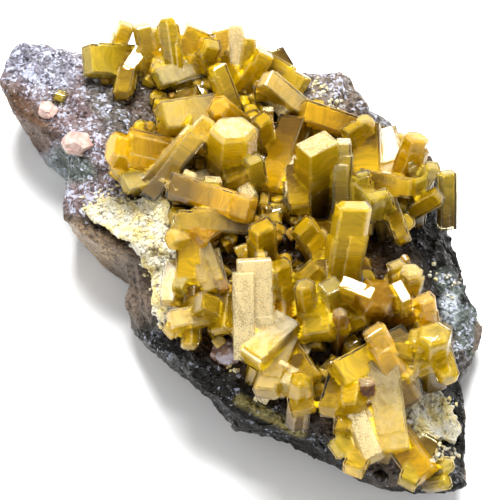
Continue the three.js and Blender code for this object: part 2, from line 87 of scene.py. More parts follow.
OUTWARD = Vector((
    math.sin(VIEW_AZIMUTH) * math.cos(VIEW_ELEVATION),
    -math.cos(VIEW_AZIMUTH) * math.cos(VIEW_ELEVATION),
    math.sin(VIEW_ELEVATION),
))
RIGHTWARD = Vector((math.cos(VIEW_AZIMUTH), math.sin(VIEW_AZIMUTH), 0))
UPWARD = OUTWARD.cross(RIGHTWARD)
EYE = VIEW_TARGET + OUTWARD * VIEW_DISTANCE

# The level that the crystals part at, a dome over the slab, as in the solids
DOME = {"middle": (262, 262), "top": 29 * MM, "along": 118 * MM, "near": 56 * MM, "far": 84 * MM}
DOME_TRIES = 16
ROOT = {"lying": 5 * MM, "standing": 8 * MM}  # how far a crystal reaches below the dome
CLEARANCE = 0.6  # least height of a tip's middle over the rock, as a share of its depth


def linear(code):
    """The linear colour of an sRGB hex value."""
    channels = [int(code[i:i + 2], 16) / 255 for i in (1, 3, 5)]
    return tuple(c / 12.92 if c <= 0.04045 else ((c + 0.055) / 1.055) ** 2.4 for c in channels)


def add(tree, kind, inputs=None, **settings):
    """Adds a node with its settings, and sets or links its inputs."""
    node = tree.nodes.new(kind)
    for name, value in settings.items():
        setattr(node, name, value)
    for key, value in (inputs or {}).items():
        if isinstance(value, bpy.types.NodeSocket):
            tree.links.new(value, node.inputs[key])
        else:
            node.inputs[key].default_value = value
    return node


# Places in the photograph's view

def through_pixel(pixel):
    """The direction from the eye through a pixel."""
    column, row = pixel
    across = RIGHTWARD * (column - PHOTO_MIDDLE) * PIXEL
    up = UPWARD * (PHOTO_MIDDLE - row) * PIXEL
    return (across + up - OUTWARD * VIEW_DISTANCE).normalized()


def at_height(pixel, height):
    """The point at a height that is seen at a pixel."""
    ray = through_pixel(pixel)
    return EYE + ray * ((height - EYE.z) / ray.z)


def heading(turn, rise):
    """A direction by its heading in the picture and its rise out of the picture, in degrees."""
    turn, rise = math.radians(turn), math.radians(rise)
    flat = RIGHTWARD * math.cos(turn) + UPWARD * math.sin(turn)
    return flat * math.cos(rise) + OUTWARD * math.sin(rise)


DOME_MIDDLE = at_height(DOME["middle"], DOME["top"])


def on_dome(pixel):
    """Where the line of sight through a pixel meets the dome."""
    point = at_height(pixel, DOME["top"])
    for _ in range(DOME_TRIES):
        across = DOME["near"] if point.y < DOME_MIDDLE.y else DOME["far"]
        fall = ((point.x - DOME_MIDDLE.x) / DOME["along"]) ** 2 + ((point.y - DOME_MIDDLE.y) / across) ** 2
        point = at_height(pixel, (point.z + DOME["top"] * (1 - fall)) / 2)
    return point


def merged_copy(node):
    """A mesh with a CAD node's shape and its loose triangles merged."""
    work = bmesh.new()
    work.from_mesh(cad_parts[node].data)
    bmesh.ops.remove_doubles(work, verts=work.verts, dist=0.001 * MM)
    mesh = bpy.data.meshes.new(node)
    work.to_mesh(mesh)
    work.free()
    return mesh


def bvh_of(mesh):
    return BVHTree.FromPolygons([v.co for v in mesh.vertices], [p.vertices for p in mesh.polygons])


ROCK_BVH = bvh_of(merged_copy("host_rock"))
RIM_HEIGHT = 13 * MM  # stands in for the rock where a line of sight misses it


def on_rock(pixel):
    """The rock's point that is seen at a pixel."""
    hit = ROCK_BVH.ray_cast(EYE, through_pixel(pixel))[0]
    return hit or at_height(pixel, RIM_HEIGHT)


def seen_at(points):
    """The pixels that points, as rows of an array, are seen at."""
    away = points - np.array(EYE)
    depth = -away @ np.array(OUTWARD)
    scale = VIEW_DISTANCE / PIXEL / depth
    return np.stack([
        PHOTO_MIDDLE + away @ np.array(RIGHTWARD) * scale,
        PHOTO_MIDDLE - away @ np.array(UPWARD) * scale,
    ], axis=1)


def span_distance(pixels, start, end):
    """How far pixels are from the line between two pixels."""
    start, end = np.array(start, float), np.array(end, float)
    along = end - start
    share = np.clip((pixels - start) @ along / max(along @ along, 1e-9), 0, 1)
    return np.linalg.norm(pixels - start - share[:, None] * along, axis=1)


# Meshes

def object_from(name, mesh, material=None):
    piece = bpy.data.objects.new(name, mesh)
    bpy.context.scene.collection.objects.link(piece)
    if material:
        mesh.materials.clear()
        mesh.materials.append(material)
    return piece


def evaluated_mesh(piece):
    """The plain mesh that an object's modifiers give."""
    graph = bpy.context.evaluated_depsgraph_get()
    return bpy.data.meshes.new_from_object(piece.evaluated_get(graph))


def drop(*pieces):
    """Removes working objects and their meshes."""
    for piece in pieces:
        mesh = piece.data
        bpy.data.objects.remove(piece)
        bpy.data.meshes.remove(mesh)


def coordinates(mesh):
    points = np.empty(len(mesh.vertices) * 3, np.float32)
    mesh.vertices.foreach_get("co", points)
    return points.reshape(-1, 3).astype(float)


def vertex_normals(mesh):
    normals = np.empty(len(mesh.vertices) * 3, np.float32)
    mesh.vertex_normals.foreach_get("vector", normals)
    return normals.reshape(-1, 3).astype(float)


def store(mesh, name, kind, domain, rows):
    """Stores rows of numbers as an attribute."""
    field = {"FLOAT_COLOR": "color", "FLOAT_VECTOR": "vector", "FLOAT": "value"}[kind]
    layer = mesh.attributes.new(name, kind, domain)
    layer.data.foreach_set(field, np.asarray(rows, np.float32).ravel())


def finish_piece(piece, slot, *nodes):
    """A piece that rides on the specimen, and stands for CAD nodes where it replaces them."""
    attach(piece, "root")
    if nodes:
        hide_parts(*nodes)


# Settings

def hue(name, code, description):
    return FloatVectorProperty(
        name=name, description=description, default=linear(code), subtype="COLOR", size=3, min=0, max=1)


def length(name, millimetres, description):
    return FloatProperty(
        name=name, description=description, default=millimetres * MM, unit="LENGTH", subtype="DISTANCE",
        min=0, precision=5)


class CitrineSettings(bpy.types.PropertyGroup):
    """Sizes and colours of the crystals."""

    worn_edge: length("Worn edge", 0.16, "Width of the bright bevel along a crystal's edges")
    growth_step: length("Growth step", 0.05, "How far a growth step stands out of a crystal's side")
    crowd_spacing: length("Crowd spacing", 1.7, "Least distance between the small crystals of the crowd")
    clear_rim: length("Clear rim", 0.5, "Depth of clear crystal round a crystal's milky heart")
    crowd_depth: length("Crowd depth", 1.6, "How far under the dome the small crystals part")
    seed: IntProperty(name="Seed", description="Number that all chance draws start from", default=7)
    honey: hue("Honey", "#F8D824", "Body colour of the bright crystals")
    orange: hue("Orange", "#F8CA12", "Body colour of the warmest crystals")
    ochre: hue("Ochre", "#DFBC10", "Body colour of the middling crystals")
    amber: hue("Amber", "#BE900A", "Body colour of the deepest crystals")
    olive: hue("Olive", "#C6A616", "Body colour of the greenish crystals")
    straw: hue("Straw", "#D9C244", "Body colour of the pale greenish crystals")
    lemon: hue("Lemon", "#F2D044", "Body colour of the pale crystals")
    cream: hue("Cream", "#EFD68E", "Body colour of crystals that are frosted all over")
    dusky: hue("Dusky", "#A67C3A", "Body colour of the brownish crystals")
    rust: hue("Rust", "#8A4A12", "Body colour of the reddest crystal")
    # Frost colour: real frost, and also painted as a highlight on the faces that look towards the main light
    # and along the worn edges
    frost_and_highlight: hue("Frost", "#F3DDA2", "Colour of frosted faces")
    # Depths: the darker colour towards the roots, partly painted shade of the gaps that the roots stand in
    root_colour_and_shade: hue("Depths", "#5C3C02", "Colour that crystals take towards their roots")
    ray: hue("Light kept", "#FFE76E", "Colour that light keeps inside a crystal")


class RockSettings(bpy.types.PropertyGroup):
    """Sizes and colours of the rock and what is set in it."""

    mesh_size: length("Mesh size", 0.45, "Size of the rock mesh's faces")
    crumb_size: length("Crumb size", 2.6, "Size of the rock's larger broken faces")
    crumb_spacing: length("Crumb spacing", 0.55, "Least distance between sugary crumbs")
    crumb_seed: IntProperty(name="Crumb seed", description="Number that the crumbs start from", default=3)
    umber: hue("Umber", "#6E5D5C", "Dark brown rock")
    soot: hue("Soot", "#14110C", "Black rock")
    slate: hue("Slate", "#575049", "Grey rock")
    moss: hue("Moss", "#59605A", "Greenish rock")
    chalk: hue("Chalk", "#A9B0B4", "Bluish white rock")
    fawn: hue("Fawn", "#8E7A62", "Pale brown rock")
    clay: hue("Clay", "#6F6256", "Grey-brown rock")
    tan: hue("Tan", "#5A4434", "Brown rock")
    haze: hue("Haze", "#706C76", "Lavender-grey rock")
    khaki: hue("Khaki", "#7E7444", "Rock stained by the crust")
    # Painted shade: the dark colour of the rock under the crystals stands for the shade they cast
    shade_under_crystals: hue("Bark", "#3A2608", "Dark rock under the crystals")
    # Painted glint: this pale colour stands for light off the rock's cleavage faces
    painted_glint: hue("Glint", "#C4C9DC", "Bright cleavage faces in the rock")
    crust: hue("Crust", "#DCCC90", "Pale crust")
    spar: hue("Spar", "#B8948A", "Pinkish spar")
    bead: hue("Bead", "#1C120A", "Dark glassy bead")
    smoke: hue("Smoke", "#7A6258", "Smoky mineral")


class StageSettings(bpy.types.PropertyGroup):
    """The floor and the light."""

    floor: hue("Floor", "#F7F7F7", "Colour of the floor")
    key_power: FloatProperty(name="Key light", description="Power of the main light", default=8.2, min=0)
    fill_power: FloatProperty(name="Fill light", description="Power of the front light", default=1.6, min=0)
    sky_strength: FloatProperty(
        name="Sky", description="Strength of the light all round", default=0.55, min=0,
    )


# Crystals

# The cross-sections, as corners in shares of the half width and half depth
SECTIONS = {
    "block": [(-1, -1), (1, -1), (1, 1), (-1, 1)],
    "cut": [(-1, -1), (0.6, -1), (1, -0.5), (1, 1), (-0.6, 1), (-1, 0.5)],
    "six": [(-1, 0), (-0.5, -1), (0.5, -1), (1, 0), (0.5, 1), (-0.5, 1)],
}

# The crystals, as in the solids: the pixel of the tip, the heading in the picture and the rise out of
# it in degrees, the width, depth and length in mm, the turn about the own axis, the cross-section and
# how many mm it stands in front of its place on the dome. The last two are the body colour and how
# frosted its lit faces are. That frost paints a highlight on the faces that look towards the main light,
# and is real frost all round where it is high.
CRYSTALS = [
    # along the far edge
    ((88, 62), 178, 40, (6.4, 3.6, 8), 10, "block", 0, "straw", 0.25),
    ((128, 24), 66, 22, (3.4, 3.6, 6.8), 20, "cut", 0, "lemon", 0.3),
    ((142, 25), 100, 22, (3.2, 3.6, 8), 15, "block", 0, "lemon", 0.5),
    ((153, 29), 118, 22, (2.6, 3.2, 7.2), 10, "block", 0, "lemon", 0.5),
    ((128, 76), 237, 21, (2.6, 2.8, 5.2), 16, "block", 2, "lemon", 0.2),
    ((123, 98), 262, 38, (4.2, 3.2, 6), 15, "cut", 0, "olive", 0.1),
    ((167, 18), 98, 18, (4, 4, 11.2), 25, "six", 0, "honey", 0.3),
    ((199, 28), 66, 15, (5.2, 3.6, 8), 15, "block", 0, "ochre", 0.1),
    ((211, 41), 62, 38, (3.4, 3.2, 6), -15, "block", 0, "orange", 0.15),
    ((156, 82), 200, 30, (4, 3.2, 6.8), 10, "block", 0, "straw", 0.6),
    ((160, 120), 190, 22, (6, 5.2, 10), 12, "block", 0, "honey", 0.5),
    ((236, 25), 91, 12, (2.8, 4.4, 8.8), 0, "block", 1, "cream", 1),
    ((220, 28), 105, 15, (3.4, 2.8, 6.8), 15, "block", 0, "lemon", 0.6),
    ((250, 38), 80, 15, (2.8, 3.2, 8), 20, "cut", 0, "ochre", 0.1),
    ((266, 53), 62, 20, (3.8, 3.6, 6.8), 20, "cut", 0, "ochre", 0.1),
    ((216, 66), 112, 22, (3.4, 3.2, 9.2), 20, "block", 0, "honey", 0.3),
    ((263, 80), 142, 25, (4, 3.6, 9.2), 25, "block", 0, "lemon", 0.7),
    ((306, 89), 330, 18, (4.4, 3.2, 8), 10, "block", 0, "honey", 0.35),
    ((217, 110), 140, 62, (5.2, 4.4, 8.8), 15, "six", 0, "orange", 0.35),
    ((234, 130), 85, 50, (10, 6.8, 10), 10, "six", 0, "honey", 0.8),
    ((210, 121), 48, 12, (3.4, 3.2, 13.2), 15, "block", 1.5, "lemon", 0.6),
    ((262, 120), 100, 48, (4, 3.4, 6.4), 30, "cut", 0, "ochre", 0.2),
    # towards the right
    ((300, 112), 162, 15, (4.8, 4, 11.2), 15, "block", 0, "orange", 0.2),
    ((349, 128), 110, 40, (3.6, 3.2, 6), 20, "block", 0, "ochre", 0.15),
    ((364, 119), 86, 42, (3.8, 3.2, 7.2), 10, "six", 0, "lemon", 0.6),
    ((366, 186), 272, 22, (5.6, 4.4, 7.2), 12, "block", 0, "ochre", 0.2),
    ((396, 174), 283, 20, (4.8, 4, 4.4), 6, "block", 0, "lemon", 0.6),
    ((415, 137), 74, 30, (6, 4.4, 8.8), 20, "six", 0, "orange", 0.4),
    ((432, 166), 65, 40, (3, 2.6, 6), 30, "cut", 0, "straw", 0.5),
    ((447, 172), 92, 22, (3, 3.2, 4.6), 10, "block", 0, "straw", 0.4),
    ((438, 196), 30, 40, (3.2, 2.8, 5.2), 20, "block", 0, "olive", 0.2),
    ((412, 189), 350, 30, (4, 3.2, 6.8), 10, "block", 0, "ochre", 0.4),
    ((377, 212), 318, 50, (5.2, 3.2, 5.2), 40, "cut", 0, "straw", 0.3),
    ((352, 208), 82, 20, (6.8, 5.2, 14.4), 18, "cut", 1, "honey", 0.2),
    ((316, 146), 92, 46, (7.2, 4.8, 10.8), 35, "block", 1, "honey", 0.8),
    ((343, 142), 88, 18, (3, 4, 10), 0, "block", 1, "straw", 0.8),
    ((268, 194), 250, 26, (5.4, 4.4, 12.4), 24, "block", 0, "orange", 0.2),
    ((238, 186), 282, 45, (5.2, 4, 5.6), 15, "cut", 0, "olive", 0.2),
    ((300, 212), 275, 40, (4.4, 2.8, 5.2), 5, "block", 0, "olive", 0.3),
    ((320, 262), 268, 48, (4.4, 2.8, 5.2), 0, "block", 0, "olive", 0.1),
    ((302, 226), 125, 34, (5.2, 3.6, 6.8), 15, "cut", 0, "olive", 0.2),
    ((262, 227), 95, 42, (5.2, 4, 7.2), 30, "cut", 0, "ochre", 0.15),
    # on the left
    ((112, 150), 166, 32, (8, 5.2, 10.4), 20, "six", 0, "orange", 0.2),
    ((124, 186), 203, 22, (4, 3.2, 7.6), 10, "cut", 0, "straw", 0.5),
    ((252, 211), 343, 16, (5.2, 4.8, 12), 12, "cut", 1.5, "orange", 0.5),
    ((178, 221), 176, 20, (4, 3.6, 8.8), 10, "block", 0, "ochre", 0.4),
    ((171, 240), 195, 48, (4.6, 3.6, 6), 15, "six", 0, "lemon", 0.5),
    ((197, 240), 215, 45, (4, 2.8, 5.2), 20, "block", 0, "amber", 0.1),
    ((190, 284), 274, 18, (4, 3.6, 8.8), 8, "block", 0, "ochre", 0.1),
    ((216, 290), 290, 18, (4, 3.6, 8.8), 10, "block", 0, "olive", 0.5),
    ((211, 303), 30, 50, (4, 4, 5.2), 45, "block", 1.5, "olive", 0.3),
    ((172, 320), 188, 22, (3.6, 3, 8.4), 15, "block", 0, "lemon", 0.6),
    ((190, 346), 268, 24, (4, 3.2, 7.2), 20, "six", 0, "olive", 0.2),
    ((168, 303), 262, 32, (3, 2.4, 4.4), 10, "block", 0, "lemon", 0.5),
    ((219, 331), 262, 34, (3.6, 2.8, 5.2), 34, "block", 0, "olive", 0.1),
    # in the middle
    ((254, 262), 92, 8, (6.6, 4.8, 12), 2, "block", 1, "cream", 1),
    ((252, 361), 226, 24, (5.2, 4, 6), 30, "block", 1, "honey", 0.6),
    ((280, 264), 98, 32, (4.4, 3.6, 7.2), 30, "cut", 0, "ochre", 0.3),
    ((283, 340), 276, 14, (4, 3.6, 10), 35, "block", 0, "amber", 0.2),
    ((306, 271), 125, 45, (5, 3.2, 6), 10, "block", 0, "olive", 0.3),
    ((303, 284), 100, 49, (4.4, 3.2, 8), 10, "six", 1, "ochre", 0.4),
    ((317, 336), 272, 28, (6.4, 5.2, 10), 20, "cut", 0, "honey", 0.3),
    ((330, 286), 95, 50, (4, 3.6, 6), 25, "block", 0, "straw", 0.4),
    ((355, 287), 90, 62, (6.6, 2.6, 7.2), -24, "block", 1, "lemon", 0.2),
    ((399, 291), 90, 62, (4.8, 2.2, 7.2), -66, "block", 1.5, "lemon", 0.2),
    ((375, 294), 66, 68, (8.4, 6.8, 8), 20, "six", 0, "amber", 0.1),
    ((410, 270), 85, 45, (4.8, 4, 6.8), 15, "six", 0, "lemon", 0.7),
    ((395, 264), 102, 32, (3.2, 2.8, 5.6), 15, "block", 0, "lemon", 0.5),
    ((424, 298), 100, 36, (3.6, 3.2, 6), 20, "cut", 0, "orange", 0.5),
    ((401, 320), 262, 46, (5, 3.6, 5.2), 15, "block", 0, "amber", 0.1),
    # towards the near edge
    ((431, 332), 95, 52, (7.2, 5.6, 8), 12, "six", 0, "honey", 0.4),
    ((447, 378), 286, 32, (4.6, 4, 7.2), 15, "six", 0, "honey", 0.2),
    ((373, 330), 118, 14, (4.4, 4, 9.2), 12, "cut", 2, "orange", 0.5),
    ((338, 374), 207, 20, (5.2, 4.8, 10.8), 15, "block", 1, "honey", 0.35),
    ((403, 350), 60, 45, (4, 3.6, 5.6), 20, "block", 0, "olive", 0.2),
    ((399, 378), 228, 42, (4.2, 3.6, 4.8), 25, "block", 1, "lemon", 0.4),
    ((424, 370), 288, 34, (4, 3.2, 6), 15, "cut", 0, "honey", 0.2),
    ((393, 446), 276, 14, (5.6, 4.4, 12), 6, "block", 2, "honey", 0.55),
    ((372, 455), 292, 22, (4.4, 4, 8.4), 10, "cut", 1, "cream", 0.9),
    ((424, 474), 306, 22, (5.2, 4, 6.4), 15, "block", 0, "orange", 0.3),
    ((350, 407), 262, 48, (6, 5.2, 6.8), 20, "six", 0, "ochre", 0.2),
    ((328, 410), 250, 42, (3.8, 3.2, 5.2), 20, "block", 0, "olive", 0.2),
    ((300, 377), 85, 48, (4.2, 4, 6), 20, "six", 1, "ochre", 0.3),
    ((280, 386), 238, 42, (4, 3.2, 4.8), 20, "block", 0, "straw", 0.7),
    ((303, 410), 282, 24, (4.8, 3.6, 6), 5, "block", 0, "ochre", 0.2),
    ((266, 391), 248, 32, (5.2, 4, 6.8), 28, "cut", 0, "olive", 0.5),
    ((335, 448), 205, 38, (3.6, 2.8, 3.6), 15, "block", 0, "straw", 0.3),
    ((352, 468), 238, 38, (4, 3.2, 5.6), 20, "block", 0, "lemon", 0.2),
]

# Smaller crystals that stand between those, in the same form
SMALL_CRYSTALS = [
    ((97, 63), 186, 12, (2.6, 2.8, 8), 0, "block", 0, "olive", 0.2),
    ((203, 52), 120, 50, (3.4, 2.4, 5.2), 20, "block", 0, "ochre", 0.3),
    ((214, 45), 60, 45, (3.6, 2.8, 6.8), 30, "block", 0, "honey", 0.4),
    ((268, 110), 90, 50, (2.2, 1.4, 4.4), 0, "block", 0, "lemon", 0.9),
    ((287, 117), 312, 28, (2.2, 1.8, 6.8), 20, "block", 0, "straw", 0.9),
    ((253, 160), 100, 45, (3.4, 2.4, 6), 20, "block", 0, "straw", 0.5),
    ((252, 201), 300, 35, (2.8, 2, 5.6), 10, "block", 0, "straw", 0.9),
    ((289, 200), 268, 38, (1.8, 1.6, 5.6), 0, "block", 0, "cream", 1),
    ((300, 247), 262, 45, (2, 1.6, 3.6), 0, "block", 0, "olive", 0.3),
    ((261, 254), 90, 45, (2.6, 1.6, 4.8), 0, "block", 0, "lemon", 0.5),
    ((181, 144), 95, 50, (3, 2, 4.4), 10, "block", 0, "olive", 0.1),
    ((191, 174), 60, 42, (2.6, 1.6, 4.4), 10, "block", 0, "cream", 1),
    ((214, 180), 75, 40, (3.4, 2, 5.2), 20, "block", 0, "straw", 0.8),
    ((171, 189), 200, 48, (2.8, 2.4, 5.6), 10, "block", 0, "cream", 0.9),
    ((224, 290), 285, 38, (2.4, 1.6, 4.4), 0, "block", 0, "dusky", 0.4),
    ((168, 331), 212, 32, (3, 2.4, 4.8), 20, "block", 0, "lemon", 0.5),
    ((179, 290), 250, 40, (2.4, 2.2, 4.4), 25, "block", 0, "straw", 0.5),
    ((232, 330), 268, 34, (2.6, 2.2, 4.8), 38, "block", 0, "olive", 0.1),
    ((366, 320), 20, 42, (2.6, 2, 4.4), 10, "block", 0, "olive", 0.3),
    ((402, 240), 285, 42, (3, 2.4, 5.6), 10, "block", 0, "olive", 0.2),
    ((314, 378), 305, 42, (3.2, 2.4, 5.6), 10, "block", 0, "olive", 0.2),
    ((284, 363), 62, 42, (2, 1.2, 4), 0, "block", 0, "cream", 1),
    ((341, 430), 250, 38, (3.4, 2.8, 5.6), 15, "block", 0, "olive", 0.2),
    ((366, 382), 92, 30, (2.8, 2.4, 6), 5, "block", 0, "rust", 0.7),
    ((406, 482), 235, 35, (3.6, 2.4, 5.6), 10, "block", 0, "straw", 0.3),
    ((338, 331), 270, 42, (3.6, 2.8, 6), 10, "block", 0, "ochre", 0.2),
    ((353, 319), 268, 46, (3.6, 2.4, 6.4), 5, "block", 0, "olive", 0.3),
    ((339, 312), 90, 48, (3.2, 2.8, 6), 20, "six", 0, "dusky", 0.5),
    ((156, 76), 245, 50, (3, 2.6, 6), 0, "block", 0, "lemon", 0.6),
    ((163, 133), 228, 38, (3.6, 3.2, 6), 20, "block", 0, "ochre", 0.2),
    ((378, 194), 105, 45, (4, 2.2, 4.8), 10, "block", 0, "straw", 0.4),
    ((157, 48), 150, 35, (2.8, 2.4, 5.2), 30, "block", 0, "orange", 0.2),
    ((184, 134), 262, 45, (4.4, 3.6, 6.4), 30, "block", 0, "honey", 0.2),
    ((241, 88), 300, 45, (3.6, 3.2, 6.4), 25, "block", 0, "ochre", 0.2),
    ((134, 160), 190, 18, (4.4, 4, 9.2), 15, "block", 0, "orange", 0.2),
    ((410, 158), 110, 42, (3.6, 2.4, 3.6), 25, "block", 2, "straw", 0.9),
    ((421, 350), 215, 48, (4, 3.6, 2.8), 20, "six", 0, "lemon", 0.5),
    ((115, 169), 205, 35, (3.2, 2.8, 5.6), 30, "block", 0, "lemon", 0.5),
    ((262, 100), 250, 48, (3.6, 3.2, 4.8), 20, "block", 0, "ochre", 0.2),
    ((250, 72), 200, 30, (4.4, 3.2, 3.2), 20, "block", 0, "ochre", 0.1),
    ((157, 184), 238, 34, (3.4, 3.2, 4.4), 20, "block", 0, "cream", 0.6),
    ((205, 69), 340, 22, (4, 3.6, 7.2), 10, "block", 0, "olive", 0.2),
    ((420, 178), 90, 45, (2.8, 2, 4.8), 20, "block", 0, "straw", 0.3),
    ((362, 173), 100, 40, (2.8, 1.8, 4), 0, "block", 0, "straw", 0.5),
    ((58, 99), 230, 60, (2.6, 2.2, 2.4), 20, "block", -1.5, "straw", 0.2),
    ((448, 465), 60, 70, (3, 2.6, 2.6), 20, "six", -1.6, "straw", 0.4),
    ((446, 481), 30, 70, (2.8, 2.4, 2.4), 50, "six", -1.6, "straw", 0.3),
]

SIDE_CRYSTALS = 3  # a crystal has up to this many grown along its sides
LEAN = 3  # degrees that those lean from it at most
STEP_SPACING = 6 * MM  # mean distance between growth steps
TIP_BEVEL = 0.16  # worn edge of a six-sided crystal's end, as a share of its width
END_TILT = 0.03  # largest slope of an end face
KEY_HEADING = (90, 34)  # heading in the picture and rise of the main light
HIGHLIGHT_FROM, HIGHLIGHT_FULL = 0.25, 0.75  # how squarely a face looks at the main light to get the frost colour as a painted highlight
LEAST_FROST_AND_HIGHLIGHT = 0.3  # rows with less frost than this are clear, without the painted highlight
FROST_ROUND = 0.85  # and with more than this, the faces that look away from the main light are frosted too, as real frost all round
WORN_FROST_AND_HIGHLIGHT = 0.3  # frost of the worn edges, partly wear and partly a painted highlight along them
FACE_TONES = (0.72, 1.15)  # darkest and lightest that one face is beside the others


def bevelled_outline(section, wide, deep, edge):
    """A cross-section's corners, each cut off by a worn edge, anticlockwise."""
    corners = [Vector((x * wide / 2, y * deep / 2)) for x, y in SECTIONS[section]]
    outline = []
    for i, corner in enumerate(corners):
        for other in (corners[i - 1], corners[(i + 1) % len(corners)]):
            side = other - corner
            outline.append(corner + side.normalized() * min(edge, side.length * 0.4))
    return outline


def crystal_rings(outline, long, bevel, chance, step):
    """Rings of points from a crystal's root up to its end face, with steps between its growths."""
    shift = Vector((0, 0))
    scale = 1.0
    reach = max(abs(corner.x) for corner in outline)
    slope = Vector((chance.uniform(-END_TILT, END_TILT), chance.uniform(-END_TILT, END_TILT)))

    def ring(z, inset=0.0, tilted=False):
        points = []
        for corner in outline:
            flat = corner * (scale - inset / reach) + shift
            points.append((flat.x, flat.y, z + (slope.dot(corner) if tilted else 0)))
        return points

    rings = [ring(-long)]
    z = -long + STEP_SPACING * chance.uniform(0.5, 1.5)
    while z < -bevel - 0.5 * STEP_SPACING:
        rings.append(ring(z))
        scale = 1 + chance.uniform(-1.2, 0.4) * step / reach
        shift = Vector((chance.uniform(-1, 1), chance.uniform(-1, 1))) * step * 0.7
        rings.append(ring(z + step * 0.8))
        z += STEP_SPACING * chance.uniform(0.35, 1.8)
    rings.append(ring(-bevel, tilted=True))
    rings.append(ring(0, bevel, tilted=True))
    plate = bevel + reach * chance.uniform(0.15, 0.4)
    rings.append(ring(0.02 * MM, plate - step, tilted=True))
    rings.append(ring(step * chance.uniform(0.6, 1.4), plate, tilted=True))
    return rings


def crystal_mesh(name, place, section, size, look, chance, settings, shift=(0, 0), drop_by=0.0):
    """One closed crystal with its colour, its frost with a painted highlight on the faces that look towards
    the main light, and the coordinates that its grain follows.
    """
    wide, deep, long = size
    edge = min(settings.worn_edge, 0.12 * min(wide, deep))
    bevel = TIP_BEVEL * min(wide, deep) if section == "six" else edge * chance.uniform(0.8, 1.6)
    outline = bevelled_outline(section, wide, deep, edge)
    rings = crystal_rings(outline, long, bevel, chance, settings.growth_step)
    count = len(outline)
    points = [Vector((x + shift[0], y + shift[1], z - drop_by)) for ring in rings for x, y, z in ring]
    faces = [list(range(count))[::-1]]
    for level in range(len(rings) - 1):
        low, high = level * count, (level + 1) * count
        for i in range(count):
            j = (i + 1) % count
            faces.append([low + i, low + j, high + j, high + i])
    top = (len(rings) - 1) * count
    faces.append([top + i for i in range(count)])
    mesh = bpy.data.meshes.new(name)
    mesh.from_pydata([place @ point for point in points], [], faces)
    mesh.update()

    colour, frost_and_highlight, own = look
    key = heading(*KEY_HEADING)
    tints, grains, states = [], [], []
    offset = Vector(own) * 100 * MM
    tones = [chance.uniform(*FACE_TONES) for _ in outline]
    for index, polygon in enumerate(mesh.polygons):
        tone = tones[(index - 1) % count // 2]
        # Painted highlight: faces that look towards the main light get the frost colour
        lit = (polygon.normal.dot(key) - HIGHLIGHT_FROM) / (HIGHLIGHT_FULL - HIGHLIGHT_FROM)
        lit = max(min(lit, 1), (frost_and_highlight - FROST_ROUND) / (1 - FROST_ROUND), 0)
        # Worn edges get the frost colour: partly wear, partly a painted highlight along the edges
        worn_edge_and_highlight = WORN_FROST_AND_HIGHLIGHT if index < len(mesh.polygons) - 1 and index % 2 else 0
        face_frost_and_highlight = max(lit * max(frost_and_highlight - LEAST_FROST_AND_HIGHLIGHT, 0) / (1 - LEAST_FROST_AND_HIGHLIGHT), worn_edge_and_highlight)
        for vertex in polygon.vertices:
            point = points[vertex]
            tints.append((*(channel * tone for channel in colour), 1))
            grains.append(point + offset)
            states.append((face_frost_and_highlight, min(-point.z / (long + drop_by), 1), own[0]))
    store(mesh, "tint", "FLOAT_COLOR", "CORNER", tints)
    store(mesh, "grain", "FLOAT_VECTOR", "CORNER", grains)
    store(mesh, "state", "FLOAT_VECTOR", "CORNER", states)
    return mesh


def crystal_place(tip, turn, rise, size, roll, forward):
    """Where a crystal stands, as a matrix with its tip at zero, and its length with its root."""
    _, deep, long = size
    axis = heading(turn, rise)
    side = heading(turn + 90, 0)
    shown = long / PIXEL * math.cos(math.radians(rise))
    root = on_dome((
        tip[0] - shown * math.cos(math.radians(turn)),
        tip[1] + shown * math.sin(math.radians(turn)),
    ))
    end = root + axis * long
    clear = (end - on_rock(tip)).dot(OUTWARD)
    end += OUTWARD * (forward + max(0, CLEARANCE * deep - clear))
    turned = Matrix((side, axis.cross(side), axis)).transposed().to_4x4()
    place = Matrix.Translation(end) @ turned @ Matrix.Rotation(math.radians(roll), 4, "Z")
    below = ROOT["lying"] + (ROOT["standing"] - ROOT["lying"]) * max(0, axis.z)
    return place, long + below


def crystal_solids(row, chance, settings):
    """The meshes of a crystal and of the smaller ones grown along its sides."""
    tip, turn, rise, size, roll, section, forward, colour, frost_and_highlight = row
    wide, deep, long = (value * MM for value in size)
    place, full = crystal_place(tip, turn, rise, (wide, deep, long), roll, forward * MM)
    body = Vector(getattr(settings, colour)) * chance.uniform(0.9, 1.1)
    own = (chance.random(), chance.random(), chance.random())
    look = (tuple(body), frost_and_highlight, own)
    yield crystal_mesh("crystal", place, section, (wide, deep, full), look, chance, settings)
    for _ in range(chance.randint(1, SIDE_CRYSTALS)):
        share = chance.uniform(0.4, 0.75)
        out = min(wide, deep) * chance.uniform(0.05, 0.2)
        sign = chance.choice((-1, 1))
        lower = long * chance.uniform(0.08, 0.6)
        if chance.random() < 0.5:
            size = (wide * share, deep, full - lower)
            shift = (sign * (wide * (1 - share) / 2 + out), chance.uniform(-1, 1) * out)
        else:
            size = (wide, deep * share, full - lower)
            shift = (chance.uniform(-1, 1) * out, sign * (deep * (1 - share) / 2 + out))
        lean = [math.radians(chance.uniform(-LEAN, LEAN)) for _ in range(3)]
        turned = place @ Euler(lean).to_matrix().to_4x4()
        yield crystal_mesh("side crystal", turned, section, size, look, chance, settings, shift, lower)


def united(name, meshes):
    """One closed mesh that joins closed meshes, with their attributes."""
    first, *others = [object_from(name, mesh) for mesh in meshes]
    group = bpy.data.collections.new(name)
    for other in others:
        group.objects.link(other)
    join = first.modifiers.new("join", "BOOLEAN")
    join.operation = "UNION"
    join.solver = "MANIFOLD"
    join.operand_type = "COLLECTION"
    join.collection = group
    mesh = evaluated_mesh(first)
    drop(first, *others)
    bpy.data.collections.remove(group)
    return mesh


